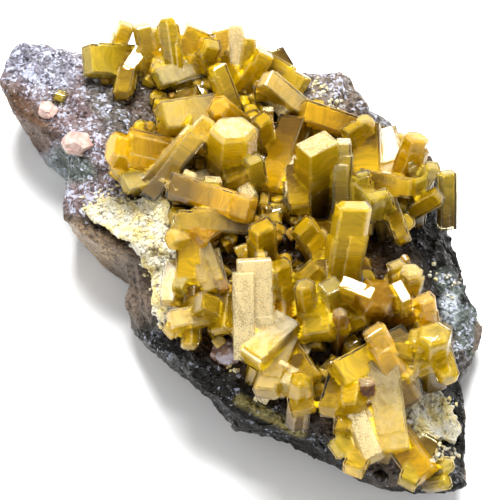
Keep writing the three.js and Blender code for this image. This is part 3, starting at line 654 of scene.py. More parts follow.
CORE_MESH_SIZE = 0.55 * MM
CORE_SHARE = 0.34  # how much of a crystal's thickness the clear rim takes at most
CORE_SMOOTHING = 3


def smoothed(mesh, values, times):
    """Values of a mesh's vertices, averaged with their neighbours' a number of times."""
    ends = np.array([edge.vertices for edge in mesh.edges])
    count = np.bincount(ends.ravel(), minlength=len(values)) + 1
    for _ in range(times):
        total = values.copy()
        np.add.at(total, ends[:, 0], values[ends[:, 1]])
        np.add.at(total, ends[:, 1], values[ends[:, 0]])
        values = total / count
    return values


def milky_core(crystals, settings):
    """The crystals' milky inside: their shape made anew of even faces, within a clear rim."""
    source = bvh_of(crystals)
    corners = [list(polygon.loop_indices) for polygon in crystals.polygons]
    places = coordinates(crystals)[[loop.vertex_index for loop in crystals.loops]]
    carried = {}
    for name, field, size in (("tint", "color", 4), ("grain", "vector", 3), ("state", "vector", 3)):
        rows = np.empty(len(places) * size, np.float32)
        crystals.attributes[name].data.foreach_get(field, rows)
        carried[name] = rows.reshape(-1, size)
    core = remeshed(crystals.copy(), CORE_MESH_SIZE)
    points, normals = coordinates(core), vertex_normals(core)
    fields = {name: np.empty((len(points), rows.shape[1])) for name, rows in carried.items()}
    insets = np.empty(len(points))
    for i, (point, normal) in enumerate(zip(points, normals)):
        place, inwards = Vector(point), -Vector(normal)
        found, _, face, _ = source.find_nearest(place)
        loops = corners[face]
        near = 1 / (np.sum((places[loops] - np.array(found)) ** 2, axis=1) + 1e-10)
        near /= near.sum()
        for name, rows in carried.items():
            fields[name][i] = near @ rows[loops]
        across = source.ray_cast(place + inwards * 0.2 * MM, inwards)[3]
        insets[i] = min(settings.clear_rim, CORE_SHARE * (across or settings.clear_rim))
    points -= normals * smoothed(core, insets, CORE_SMOOTHING)[:, None]
    core.vertices.foreach_set("co", points.astype(np.float32).ravel())
    core.update()
    store(core, "tint", "FLOAT_COLOR", "POINT", fields["tint"])
    store(core, "grain", "FLOAT_VECTOR", "POINT", fields["grain"])
    store(core, "state", "FLOAT_VECTOR", "POINT", fields["state"])
    return core


# Scattering

def scatter_tree(name):
    """Small pieces strewn over a bed, turned at random, tinted, realized and given a material."""
    tree = bpy.data.node_groups.new(name, "GeometryNodeTree")
    tree.interface.new_socket("Geometry", in_out="OUTPUT", socket_type="NodeSocketGeometry")
    for label, kind in (
        ("Bed", "Geometry"), ("Pieces", "Collection"), ("Spacing", "Float"), ("Density", "Float"),
        ("Smallest", "Float"), ("Largest", "Float"), ("Lean", "Float"), ("First Tint", "Color"),
        ("Second Tint", "Color"), ("Seed", "Int"), ("Material", "Material"),
    ):
        tree.interface.new_socket(label, in_out="INPUT", socket_type="NodeSocket" + kind)
    given = add(tree, "NodeGroupInput").outputs
    where = add(tree, "GeometryNodeInputNamedAttribute", {"Name": "share"}, data_type="FLOAT")
    points = add(tree, "GeometryNodeDistributePointsOnFaces", {
        "Mesh": given["Bed"], "Distance Min": given["Spacing"], "Density Max": given["Density"],
        "Density Factor": where.outputs["Attribute"], "Seed": given["Seed"],
    }, distribute_method="POISSON")
    lean = add(tree, "ShaderNodeMath", {0: given["Lean"], 1: -1.0}, operation="MULTIPLY")
    least = add(tree, "ShaderNodeCombineXYZ", {"X": lean.outputs[0], "Y": lean.outputs[0], "Z": -math.pi})
    most = add(tree, "ShaderNodeCombineXYZ", {"X": given["Lean"], "Y": given["Lean"], "Z": math.pi})
    swing = add(tree, "FunctionNodeRandomValue", {
        0: least.outputs[0], 1: most.outputs[0], "Seed": given["Seed"],
    }, data_type="FLOAT_VECTOR")
    swung = add(tree, "FunctionNodeEulerToRotation", {"Euler": swing.outputs[0]})
    turned = add(tree, "FunctionNodeRotateRotation", {
        "Rotation": points.outputs["Rotation"], "Rotate By": swung.outputs[0],
    }, rotation_space="LOCAL")
    scale = add(tree, "FunctionNodeRandomValue", {
        2: given["Smallest"], 3: given["Largest"], "Seed": given["Seed"],
    }, data_type="FLOAT")
    kinds = add(tree, "GeometryNodeCollectionInfo", {
        "Collection": given["Pieces"], "Separate Children": True, "Reset Children": True,
    })
    placed = add(tree, "GeometryNodeInstanceOnPoints", {
        "Points": points.outputs["Points"], "Instance": kinds.outputs[0], "Pick Instance": True,
        "Rotation": turned.outputs[0], "Scale": scale.outputs[1],
    })
    chance = add(tree, "FunctionNodeRandomValue", {"Seed": given["Seed"]}, data_type="FLOAT")
    mixed = add(tree, "ShaderNodeMix", {
        0: chance.outputs[1], 6: given["First Tint"], 7: given["Second Tint"],
    }, data_type="RGBA")
    tinted = add(tree, "GeometryNodeStoreNamedAttribute", {
        "Geometry": placed.outputs[0], "Name": "tint", "Value": mixed.outputs[2],
    }, data_type="FLOAT_COLOR", domain="INSTANCE")
    plain = add(tree, "GeometryNodeRealizeInstances", {"Geometry": tinted.outputs[0]})
    dressed = add(tree, "GeometryNodeSetMaterial", {
        "Geometry": plain.outputs[0], "Material": given["Material"],
    })
    add(tree, "NodeGroupOutput", {"Geometry": dressed.outputs[0]})
    return tree


def scattered(name, bed, pieces, values):
    """The plain mesh of small pieces strewn over a bed."""
    tree = scatter_tree(name)
    group = bpy.data.collections.new(name)
    parts = [object_from(f"{name} {i:02d}", mesh) for i, mesh in enumerate(pieces)]
    for part in parts:
        group.objects.link(part)
    base = object_from(name, bed)
    strew = base.modifiers.new("strew", "NODES")
    strew.node_group = tree
    sockets = {item.name: item.identifier for item in tree.interface.items_tree if item.in_out == "INPUT"}
    for label, value in {"Pieces": group, **values}.items():
        strew[sockets[label]] = value
    mesh = evaluated_mesh(base)
    drop(base, *parts)
    bpy.data.collections.remove(group)
    return mesh


# Where the crowd of small crystals grows, as an outline in the picture, and the dark gaps in it, each
# a line between two pixels and a breadth
CROWD_OUTLINE = [
    (92, 54), (125, 30), (170, 24), (240, 30), (268, 56), (300, 86), (350, 124), (400, 136), (432, 160),
    (446, 200), (420, 214), (402, 236), (428, 270), (442, 310), (450, 370), (424, 384), (400, 380),
    (396, 420), (416, 466), (394, 478), (350, 460), (300, 424), (262, 398), (244, 370), (232, 344),
    (200, 346), (172, 334), (166, 300), (186, 268), (170, 236), (180, 210), (150, 182), (112, 170),
    (112, 142), (150, 124), (158, 100), (126, 98), (102, 80),
]
GAPS = [
    ((140, 84), (146, 102), 9),
    ((185, 74), (188, 92), 8),
    ((203, 170), (212, 176), 8),
    ((304, 196), (328, 206), 12),
    ((376, 234), (378, 266), 11),
    ((230, 244), (231, 322), 8),
    ((390, 334), (404, 334), 8),
    ((284, 352), (330, 352), 8),
    ((304, 426), (328, 434), 10),
    ((372, 476), (386, 478), 9),
]
BED_STEP = 5  # pixels between the bed's points
CROWD_REACH = 8 * MM
CROWD_ROOM = (5 * MM, 9 * MM)  # how far to the sides and down the rock has to reach under a root


def inside(pixel, outline):
    """Whether a pixel lies within an outline."""
    x, y = pixel
    odd = False
    for (x0, y0), (x1, y1) in zip(outline, outline[1:] + outline[:1]):
        if (y0 > y) != (y1 > y) and x < (x1 - x0) * (y - y0) / (y1 - y0) + x0:
            odd = not odd
    return odd


def in_rock(point):
    """Whether a point lies inside the rock."""
    found, normal, _, _ = ROCK_BVH.find_nearest(point)
    return (point - found).dot(normal) < 0


def has_rock_below(point):
    """Whether a small crystal that hangs from a point reaches the rock and doesn't leave it again."""
    top = ROCK_BVH.ray_cast(point, Vector((0, 0, -1)), CROWD_REACH)[0]
    aside, deep = CROWD_ROOM
    return top is not None and all(
        in_rock(Vector((point.x + x * aside, point.y + y * aside, min(point.z, top.z + aside) - deep)))
        for x, y in ((-1, 0), (1, 0), (0, -1), (0, 1))
    )


def crowd_bed(depth):
    """A sheet under the dome that the small crystals grow from, with the share of them at each point."""
    columns = range(85, 460, BED_STEP)
    rows = range(20, 490, BED_STEP)
    pixels = np.array([(c, r) for r in rows for c in columns], float)
    gap = np.min([span_distance(pixels, start, end) - breadth for start, end, breadth in GAPS], axis=0)
    points = [on_dome(p) - OUTWARD * depth for p in pixels]
    share = [
        float(inside(pixel, CROWD_OUTLINE) and free > 0 and has_rock_below(point))
        for pixel, free, point in zip(pixels, gap, points)
    ]
    wide = len(columns)
    faces = []
    for r in range(len(rows) - 1):
        for c in range(wide - 1):
            corner = r * wide + c
            quad = [corner, corner + wide, corner + wide + 1, corner + 1]
            if any(share[i] for i in quad):
                faces.append(quad)
    mesh = bpy.data.meshes.new("crowd bed")
    mesh.from_pydata(points, [], faces)
    store(mesh, "share", "FLOAT", "POINT", share)
    return mesh


# Materials

def new_material(name):
    material = bpy.data.materials.new(name)
    material.use_nodes = True
    return material, material.node_tree, material.node_tree.nodes["Principled BSDF"]


def known_material(name):
    """A material's parts, and whether it was there already."""
    if name in bpy.data.materials:
        return bpy.data.materials[name], None, None
    return new_material(name)


def crystal_pattern(tree):
    """What both citrine materials read: tint, frost with its painted highlight, reach, bands across the axis
    and cloudy veils.
    """
    tint = add(tree, "ShaderNodeAttribute", attribute_name="tint").outputs["Color"]
    grain = add(tree, "ShaderNodeAttribute", attribute_name="grain").outputs["Vector"]
    state = add(tree, "ShaderNodeAttribute", attribute_name="state").outputs["Vector"]
    frost_and_highlight, reach, _ = add(tree, "ShaderNodeSeparateXYZ", {0: state}).outputs

    # Growth bands every 0.5 mm across the axis, and veils about 1.6 mm wide and longer than that
    across = add(tree, "ShaderNodeVectorMath", {0: grain, 1: (150, 150, 2100)}, operation="MULTIPLY")
    bands = add(tree, "ShaderNodeTexNoise", {"Vector": across.outputs[0], "Scale": 1, "Detail": 3})
    cloud = add(tree, "ShaderNodeVectorMath", {0: grain, 1: (620, 620, 330)}, operation="MULTIPLY")
    veils = add(tree, "ShaderNodeTexNoise", {
        "Vector": cloud.outputs[0], "Scale": 1, "Detail": 5, "Roughness": 0.6, "Distortion": 0.4,
    })
    return tint, grain, frost_and_highlight, reach, bands.outputs[0], veils.outputs[0]


def citrine_material(settings):
    """Citrine: quartz coloured by iron, grown. Clear, and frosted on some faces: the frost colour is a
    painted highlight on the faces that look towards the main light, and real frost all round on the most
    frosted crystals.
    """
    material, tree, shader = known_material("clear citrine")
    if tree is None:
        return material
    _, grain, frost_and_highlight, _, bands, veils = crystal_pattern(tree)
    fine = add(tree, "ShaderNodeTexNoise", {"Vector": grain, "Scale": 3800, "Detail": 4})
    patchy = add(tree, "ShaderNodeMath", {0: fine.outputs[0], 1: veils}, operation="ADD")
    spread = add(tree, "ShaderNodeMapRange", {
        "Value": patchy.outputs[0], "From Min": 0.75, "From Max": 1.2, "To Min": 0.15,
    })
    icing_and_highlight = add(tree, "ShaderNodeMath", {0: spread.outputs[0], 1: frost_and_highlight}, operation="MULTIPLY")
    colour = add(tree, "ShaderNodeMix", {
        0: icing_and_highlight.outputs[0], 6: (1, 0.96, 0.7, 1), 7: (*settings.frost_and_highlight, 1),
    }, data_type="RGBA")
    rough = add(tree, "ShaderNodeMapRange", {"Value": icing_and_highlight.outputs[0], "To Min": 0.05, "To Max": 0.5})
    relief = add(tree, "ShaderNodeMath", {0: bands, 1: fine.outputs[0]}, operation="ADD")
    bump = add(tree, "ShaderNodeBump", {
        "Height": relief.outputs[0], "Strength": 0.25, "Distance": 0.04 * MM,
    })
    tree.links.new(colour.outputs[2], shader.inputs["Base Color"])
    tree.links.new(rough.outputs[0], shader.inputs["Roughness"])
    tree.links.new(bump.outputs[0], shader.inputs["Normal"])
    see_through = add(tree, "ShaderNodeMapRange", {"Value": icing_and_highlight.outputs[0], "To Min": 1, "To Max": 0.4})
    tree.links.new(see_through.outputs[0], shader.inputs["Transmission Weight"])
    shader.inputs["IOR"].default_value = 1.55
    absorb = add(tree, "ShaderNodeVolumeAbsorption", {"Color": (*settings.ray, 1), "Density": 60})
    tree.links.new(absorb.outputs[0], tree.nodes["Material Output"].inputs["Volume"])
    return material


def heart_material(settings):
    """Milky citrine: quartz full of tiny bubbles, grown. Cloudy, and darker at the root: partly a deeper
    colour, partly painted shade of the gaps that the roots stand in.
    """
    material, tree, shader = known_material("milky citrine")
    if tree is None:
        return material
    tint, _, frost_and_highlight, reach, bands, veils = crystal_pattern(tree)
    veil = add(tree, "ShaderNodeMapRange", {
        "Value": veils, "From Min": 0.48, "From Max": 0.68, "To Max": 0.35,
    })
    milky = add(tree, "ShaderNodeMix", {
        0: veil.outputs[0], 6: tint, 7: (*settings.lemon, 1),
    }, data_type="RGBA")
    band = add(tree, "ShaderNodeMapRange", {
        "Value": bands, "From Min": 0.3, "From Max": 0.7, "To Min": 0.75, "To Max": 1.08,
    })
    banded = add(tree, "ShaderNodeVectorMath", {
        0: milky.outputs[2], "Scale": band.outputs[0],
    }, operation="SCALE")
    # Darker towards the root: painted shade of the gaps that the roots stand in, and partly a deeper colour
    deep = add(tree, "ShaderNodeMapRange", {
        "Value": reach, "From Min": 0.3, "From Max": 0.8, "To Max": 0.8,
    })
    rooted = add(tree, "ShaderNodeMix", {
        0: deep.outputs[0], 6: banded.outputs[0], 7: (*settings.root_colour_and_shade, 1),
    }, data_type="RGBA")
    icing_and_highlight = add(tree, "ShaderNodeMath", {0: frost_and_highlight, 1: 0.4}, operation="MULTIPLY")
    colour = add(tree, "ShaderNodeMix", {
        0: icing_and_highlight.outputs[0], 6: rooted.outputs[2], 7: (*settings.frost_and_highlight, 1),
    }, data_type="RGBA")
    tree.links.new(colour.outputs[2], shader.inputs["Base Color"])
    shader.inputs["Roughness"].default_value = 0.8
    shader.inputs["Specular IOR Level"].default_value = 0.1
    return material


def cell_facets(tree, place, size, share):
    """Broken faces as a height: each cell of a pattern is a plane with a slope of its own."""
    cells = add(tree, "ShaderNodeTexVoronoi", {"Vector": place, "Scale": 1 / size, "Randomness": share})
    scaled = add(tree, "ShaderNodeVectorMath", {0: place, "Scale": 1 / size}, operation="SCALE")
    middle = add(tree, "ShaderNodeVectorMath", {
        0: cells.outputs["Position"], "Scale": 1 / size,
    }, operation="SCALE")
    away = add(tree, "ShaderNodeVectorMath", {
        0: scaled.outputs[0], 1: middle.outputs[0],
    }, operation="SUBTRACT")
    slope = add(tree, "ShaderNodeVectorMath", {
        0: cells.outputs["Color"], 1: (0.5, 0.5, 0.5),
    }, operation="SUBTRACT")
    height = add(tree, "ShaderNodeVectorMath", {
        0: away.outputs[0], 1: slope.outputs[0],
    }, operation="DOT_PRODUCT")
    return height.outputs["Value"], cells.outputs["Color"]


def rock_material(settings):
    """Ore rock, broken: dark grains, wet-looking, with clumps of painted glints that stand for light off
    cleavage faces.
    """
    material, tree, shader = new_material("ore rock")
    place = add(tree, "ShaderNodeTexCoord").outputs["Object"]
    zone = add(tree, "ShaderNodeAttribute", attribute_name="zone").outputs["Color"]
    glints = add(tree, "ShaderNodeAttribute", attribute_name="glints").outputs["Fac"]
    bend = add(tree, "ShaderNodeTexNoise", {"Vector": place, "Scale": 1 / (1.5 * MM), "Detail": 3})
    warp = add(tree, "ShaderNodeVectorMath", {
        0: bend.outputs[1], 1: (0.9 * MM, 0.9 * MM, 0.9 * MM), 2: place,
    }, operation="MULTIPLY_ADD")
    coarse, hues = cell_facets(tree, warp.outputs[0], 1.3 * MM, 1.0)
    small, spots = cell_facets(tree, warp.outputs[0], 0.5 * MM, 1.0)
    pick, tone, _ = add(tree, "ShaderNodeSeparateXYZ", {0: hues}).outputs
    spot, speck, _ = add(tree, "ShaderNodeSeparateXYZ", {0: spots}).outputs
    facet = add(tree, "ShaderNodeMath", {0: pick, 1: 0.6, 2: spot}, operation="MULTIPLY_ADD").outputs[0]
    clumps = add(tree, "ShaderNodeTexNoise", {"Vector": place, "Scale": 1 / (3.6 * MM), "Detail": 4})

    # Each grain is lighter or darker than its neighbours
    tones = add(tree, "ShaderNodeMath", {0: tone, 1: 0.6, 2: speck}, operation="MULTIPLY_ADD")
    light = add(tree, "ShaderNodeMapRange", {
        "Value": tones.outputs[0], "From Max": 1.6, "To Min": 0.25, "To Max": 1.55,
    })
    shade = add(tree, "ShaderNodeVectorMath", {0: zone, "Scale": light.outputs[0]}, operation="SCALE")
    # Painted glints: clumps of cells take the pale glint colour, standing for light off cleavage faces
    clumped = add(tree, "ShaderNodeMath", {0: clumps.outputs[0], 1: 1.3, 2: facet}, operation="MULTIPLY_ADD")
    wanted = add(tree, "ShaderNodeMath", {0: glints, 1: 0.8, 2: clumped.outputs[0]}, operation="MULTIPLY_ADD")
    painted_glint = add(tree, "ShaderNodeMapRange", {
        "Value": wanted.outputs[0], "From Min": 2.3, "From Max": 2.75, "To Max": 0.7,
    })
    colour = add(tree, "ShaderNodeMix", {
        0: painted_glint.outputs[0], 6: shade.outputs[0], 7: (*settings.painted_glint, 1),
    }, data_type="RGBA")
    rough = add(tree, "ShaderNodeMapRange", {"Value": speck, "To Min": 0.2, "To Max": 0.6})
    relief = add(tree, "ShaderNodeMath", {0: small, 1: 0.5, 2: coarse}, operation="MULTIPLY_ADD")
    bump = add(tree, "ShaderNodeBump", {
        "Height": relief.outputs[0], "Strength": 0.9, "Distance": 0.45 * MM,
    })
    tree.links.new(colour.outputs[2], shader.inputs["Base Color"])
    tree.links.new(rough.outputs[0], shader.inputs["Roughness"])
    tree.links.new(bump.outputs[0], shader.inputs["Normal"])
    shader.inputs["Specular IOR Level"].default_value = 0.35
    return material


CRUST_STAIN = "#DAD6C6"  # the greyer patches of the crusts


def crust_material(settings):
    """Sugary crust, grown: matt pale grains, yellower in patches and dark in its pits."""
    material, tree, shader = known_material("sugary crust")
    if tree is None:
        return material
    place = add(tree, "ShaderNodeTexCoord").outputs["Object"]
    stains = add(tree, "ShaderNodeTexNoise", {"Vector": place, "Scale": 1 / (2.6 * MM), "Detail": 5})
    holes = add(tree, "ShaderNodeTexNoise", {
        "Vector": place, "Scale": 1 / (1.7 * MM), "Detail": 6, "Roughness": 0.65,
    })
    grains = add(tree, "ShaderNodeTexVoronoi", {"Vector": place, "Scale": 1 / (0.45 * MM)})
    stain = add(tree, "ShaderNodeMapRange", {"Value": stains.outputs[0], "From Min": 0.4, "From Max": 0.62})
    pale = (*linear(CRUST_STAIN), 1)
    mixed = add(tree, "ShaderNodeMix", {
        0: stain.outputs[0], 6: pale, 7: (*settings.crust, 1),
    }, data_type="RGBA")
    pit = add(tree, "ShaderNodeMapRange", {
        "Value": holes.outputs[0], "From Min": 0.45, "From Max": 0.37, "To Max": 0.85,
    })
    pitted = add(tree, "ShaderNodeMix", {
        0: pit.outputs[0], 6: mixed.outputs[2], 7: (*settings.clay, 1),
    }, data_type="RGBA")
    shade = add(tree, "ShaderNodeMapRange", {
        "Value": grains.outputs["Distance"], "To Min": 1.05, "To Max": 0.72,
    })
    colour = add(tree, "ShaderNodeVectorMath", {
        0: pitted.outputs[2], "Scale": shade.outputs[0],
    }, operation="SCALE")
    bump = add(tree, "ShaderNodeBump", {
        "Height": grains.outputs["Distance"], "Strength": 0.6, "Distance": 0.2 * MM,
    }, invert=True)
    tree.links.new(colour.outputs[0], shader.inputs["Base Color"])
    tree.links.new(bump.outputs[0], shader.inputs["Normal"])
    shader.inputs["Roughness"].default_value = 0.62
    return material


SPAR_PATCH = "#CDBAB0"  # the paler patches of the pinkish grains


def spar_material(settings):
    """Pink spar, cleaved: pearly planes with paler and redder patches."""
    material, tree, shader = new_material("pink spar")
    place = add(tree, "ShaderNodeTexCoord").outputs["Object"]
    height, _ = cell_facets(tree, place, 1.6 * MM, 0.8)
    patches = add(tree, "ShaderNodeTexNoise", {"Vector": place, "Scale": 1 / (1.8 * MM), "Detail": 4})
    patch = add(tree, "ShaderNodeMapRange", {"Value": patches.outputs[0], "From Min": 0.35, "From Max": 0.65})
    white = (*linear(SPAR_PATCH), 1)
    colour = add(tree, "ShaderNodeMix", {
        0: patch.outputs[0], 6: white, 7: (*settings.spar, 1),
    }, data_type="RGBA")
    bump = add(tree, "ShaderNodeBump", {"Height": height, "Strength": 0.7, "Distance": 0.3 * MM})
    tree.links.new(colour.outputs[2], shader.inputs["Base Color"])
    tree.links.new(bump.outputs[0], shader.inputs["Normal"])
    shader.inputs["Roughness"].default_value = 0.38
    return material


def smoky_material(settings):
    """Smoky mineral, glassy: dark, with bright broken faces that are painted glints."""
    material, tree, shader = new_material("smoky glass")
    place = add(tree, "ShaderNodeTexCoord").outputs["Object"]
    height, hues = cell_facets(tree, place, 1.2 * MM, 1.0)
    pick, _, _ = add(tree, "ShaderNodeSeparateXYZ", {0: hues}).outputs
    # Painted glints: the cells get up to half of the pale glint colour, standing for light off broken faces
    veil = add(tree, "ShaderNodeMapRange", {"Value": pick, "From Min": 0.5, "To Max": 0.55})
    colour = add(tree, "ShaderNodeMix", {
        0: veil.outputs[0], 6: (*settings.smoke, 1), 7: (*settings.painted_glint, 1),
    }, data_type="RGBA")
    bump = add(tree, "ShaderNodeBump", {"Height": height, "Strength": 0.8, "Distance": 0.3 * MM})
    tree.links.new(colour.outputs[2], shader.inputs["Base Color"])
    tree.links.new(bump.outputs[0], shader.inputs["Normal"])
    shader.inputs["Roughness"].default_value = 0.16
    return material


def bead_material(settings):
    """Dark glassy mineral, grown: almost black, with a wet gloss."""
    material, _, shader = new_material("dark glass")
    shader.inputs["Base Color"].default_value = (*settings.bead, 1)
    shader.inputs["Roughness"].default_value = 0.08
    return material


# The rock

# What the rock looks like in places of the picture: a line between two pixels and a breadth, the
# colour, the share of painted glints there, and how rough it is
ZONES = [
    # painted shade: the rock under the crystals is darkened for the shade they cast
    ((262, 262), (262, 262), 190, "shade_under_crystals", 0.2, 1.0),
    ((40, 75), (75, 130), 52, "umber", 1.0, 1.0),
    ((18, 58), (58, 70), 20, "haze", 1.1, 1.0),
    ((100, 84), (128, 146), 17, "slate", 0.9, 1.0),
    ((8, 100), (40, 135), 15, "tan", 0.3, 0.6),
    ((55, 195), (58, 165), 15, "chalk", 0.5, 0.7),
    ((66, 158), (82, 172), 14, "moss", 0.7, 0.9),
    ((75, 200), (112, 195), 16, "umber", 1.1, 0.9),
    ((70, 236), (112, 262), 16, "fawn", 0.05, 0.35),
    ((124, 280), (140, 345), 22, "clay", 0.1, 0.35),
    ((150, 345), (345, 478), 24, "soot", 0.5, 1.0),
    ((425, 205), (462, 300), 30, "soot", 0.35, 1.0),
    ((445, 278), (455, 290), 9, "moss", 0.7, 1.0),
    ((450, 302), (454, 318), 9, "chalk", 0.7, 1.0),
    ((468, 316), (466, 352), 11, "moss", 0.8, 1.0),
    ((481, 322), (478, 350), 5, "clay", 0.2, 0.5),
    ((462, 358), (460, 382), 8, "slate", 0.6, 0.8),
    ((448, 385), (460, 480), 16, "soot", 0.4, 0.9),
    ((471, 395), (470, 480), 5, "fawn", 0.2, 0.5),
    ((385, 494), (455, 494), 6, "soot", 0.3, 0.8),
    ((240, 400), (300, 432), 6, "khaki", 0.4, 0.9),
    ((320, 84), (352, 100), 26, "clay", 0.8, 1.0),
    ((385, 116), (420, 135), 18, "slate", 0.9, 0.9),
]
BASE_FADE = 3 * MM  # the relief fades out towards the flat underside
FACET_HEIGHT = 0.42 * MM
LUMP_HEIGHT = 0.5 * MM
LUMP_SIZE = 5 * MM
FINER, FINER_SHARE = 2.3, 0.4  # how much smaller the finer broken faces are, and their share of height


def zone_values(points, normals, settings):
    """The colour, share of painted glints and roughness at points of the rock."""
    pixels = seen_at(points)
    facing = np.clip(normals @ np.array(OUTWARD) * 2.5 + 0.8, 0, 1)
    colour = np.tile(np.array(settings.clay) * 0.55, (len(points), 1))
    glints = np.full(len(points), 0.45)
    rough = np.full(len(points), 0.8)
    for start, end, breadth, name, painted_glint, roughness in ZONES:
        near = np.clip(1.5 - span_distance(pixels, start, end) / breadth, 0, 1)
        weight = near * near * (3 - 2 * near) * facing
        colour += (np.array(getattr(settings, name)) - colour) * weight[:, None]
        glints += (painted_glint - glints) * weight
        rough += (roughness - rough) * weight
    return colour, glints, rough


def broken_height(point, size):
    """The height of a broken face at a point, in shares of the face's size."""
    place = point / size
    middle = noise.voronoi(place)[1][0]
    slope = noise.cell_vector(middle * 3.7) * 2 - Vector((1, 1, 1))
    return (place - middle).dot(slope)


def remeshed(mesh, size):
    """A closed mesh made anew of even faces."""
    work = object_from(mesh.name, mesh)
    remesh = work.modifiers.new("remesh", "REMESH")
    remesh.mode = "VOXEL"
    remesh.voxel_size = size
    fresh = evaluated_mesh(work)
    drop(work)
    return fresh


def rock_mesh(settings):
    """The host rock with broken faces, lumps and its flat underside."""
    mesh = remeshed(merged_copy("host_rock"), settings.mesh_size)
    points, normals = coordinates(mesh), vertex_normals(mesh)
    colour, glints, rough = zone_values(points, normals, settings)
    heights = np.empty(len(points))
    for i, point in enumerate(points):
        place = Vector(point)
        facets = broken_height(place, settings.crumb_size)
        facets += FINER_SHARE * broken_height(place, settings.crumb_size / FINER)
        lumps = noise.fractal(place / LUMP_SIZE, 1.0, 2.0, 3)
        heights[i] = rough[i] * (FACET_HEIGHT * facets + LUMP_HEIGHT * lumps)
    fade = np.clip(points[:, 2] / BASE_FADE, 0, 1)
    points += normals * (heights * fade)[:, None]
    points[:, 2] = np.maximum(points[:, 2], 0)
    mesh.vertices.foreach_set("co", points.astype(np.float32).ravel())
    mesh.update()
    store(mesh, "zone", "FLOAT_COLOR", "POINT", np.column_stack([colour, np.ones(len(points))]))
    store(mesh, "glints", "FLOAT", "POINT", glints)
    return with_plain_underside(mesh)


def with_plain_underside(mesh):
    """The mesh with the many faces of its flat underside joined."""
    work = bmesh.new()
    work.from_mesh(mesh)
    flat = [f for f in work.faces if all(v.co.z < 0.01 * MM for v in f.verts)]
    bmesh.ops.dissolve_faces(work, faces=flat, use_verts=False)
    work.to_mesh(mesh)
    work.free()
    return mesh


CRUST_MESH_SIZE = 0.3 * MM
CRUST_LUMPS = 0.5 * MM
# Where sugary crumbs lie, on the crusts and loose beside them: a line between two pixels, a breadth
# and how densely they lie
CRUMB_ZONES = [
    ((96, 204), (152, 212), 14, 1.0),
    ((140, 214), (172, 286), 18, 1.0),
    ((160, 290), (166, 326), 9, 0.8),
    ((116, 188), (140, 196), 7, 0.7),
    ((402, 396), (446, 406), 10, 1.0),
    ((412, 424), (444, 460), 12, 1.0),
    ((432, 272), (456, 282), 7, 0.5),
    ((448, 300), (452, 314), 5, 0.3),
    ((316, 86), (336, 104), 8, 0.5),
    ((136, 80), (150, 76), 3, 0.8),
    ((226, 366), (234, 370), 4, 0.6),
]
CRUMBS = 4  # different crumb shapes
CRUMB_SIZE = 0.34 * MM


def crumb_bed(mesh):
    """A copy of a mesh, with how densely crumbs lie at each vertex."""
    bed = mesh.copy()
    points, normals = coordinates(bed), vertex_normals(bed)
    pixels = seen_at(points)
    facing = normals @ np.array(OUTWARD) > 0.1
    share = np.zeros(len(points))
    for start, end, breadth, full in CRUMB_ZONES:
        near = np.clip(1.3 - span_distance(pixels, start, end) / breadth, 0, 1)
        share = np.maximum(share, full * near)
    store(bed, "share", "FLOAT", "POINT", share * facing)
    return bed


def crumb_forms(chance):
    """Small closed lumps with broken faces."""
    for _ in range(CRUMBS):
        work = bmesh.new()
        bmesh.ops.create_icosphere(work, subdivisions=1, radius=CRUMB_SIZE)
        for vertex in work.verts:
            vertex.co = Vector(round(c / CRUMB_SIZE * 2.2) * CRUMB_SIZE / 2.2 for c in vertex.co)
            vertex.co *= chance.uniform(0.75, 1.25)
        bmesh.ops.convex_hull(work, input=work.verts)
        mesh = bpy.data.meshes.new("crumb")
        work.to_mesh(mesh)
        work.free()
        yield mesh


def crust_mesh(node):
    """A crust with a lumpy, sugary top."""
    mesh = remeshed(merged_copy(node), CRUST_MESH_SIZE)
    points, normals = coordinates(mesh), vertex_normals(mesh)
    for i, point in enumerate(points):
        place = Vector(point)
        lumps = noise.fractal(place / (2.4 * MM), 1.0, 2.0, 3)
        crumbs = broken_height(place, 0.9 * MM)
        points[i] += normals[i] * CRUST_LUMPS * (lumps + 0.5 * crumbs)
    mesh.vertices.foreach_set("co", points.astype(np.float32).ravel())
    mesh.update()
    return mesh


GRAIN_MESH_SIZE = 0.16 * MM
BEAD = {"at": (380, 477), "radius": 1.6 * MM, "sunk": 0.3}  # sunk in the rock by this share


def grain_mesh(node, size):
    """A grain with cleaved faces."""
    mesh = remeshed(merged_copy(node), GRAIN_MESH_SIZE)
    points, normals = coordinates(mesh), vertex_normals(mesh)
    for i, point in enumerate(points):
        points[i] += normals[i] * 0.3 * MM * broken_height(Vector(point), size)
    mesh.vertices.foreach_set("co", points.astype(np.float32).ravel())
    mesh.update()
    return mesh


def bead_mesh():
    """A round glossy bead in the hollow at the near end."""
    work = bmesh.new()
    bmesh.ops.create_icosphere(work, subdivisions=4, radius=BEAD["radius"])
    middle = on_rock(BEAD["at"]) + OUTWARD * BEAD["radius"] * (1 - 2 * BEAD["sunk"])
    for vertex in work.verts:
        bump = noise.noise(vertex.co / BEAD["radius"]) * 0.12 + 1
        vertex.co = middle + vertex.co * bump
    mesh = bpy.data.meshes.new("bead")
    work.to_mesh(mesh)
    work.free()
    mesh.shade_smooth()
    return mesh


# Operators

FLOOR_REACH = 3.0  # metres from the middle of the floor to its edge
KEY_DISTANCE, KEY_SIZE = 0.7, 0.3  # metres
FILL_HEADING = (240, 50)  # heading in the picture and rise
FILL_DISTANCE, FILL_SIZE = 0.8, 0.6  # metres


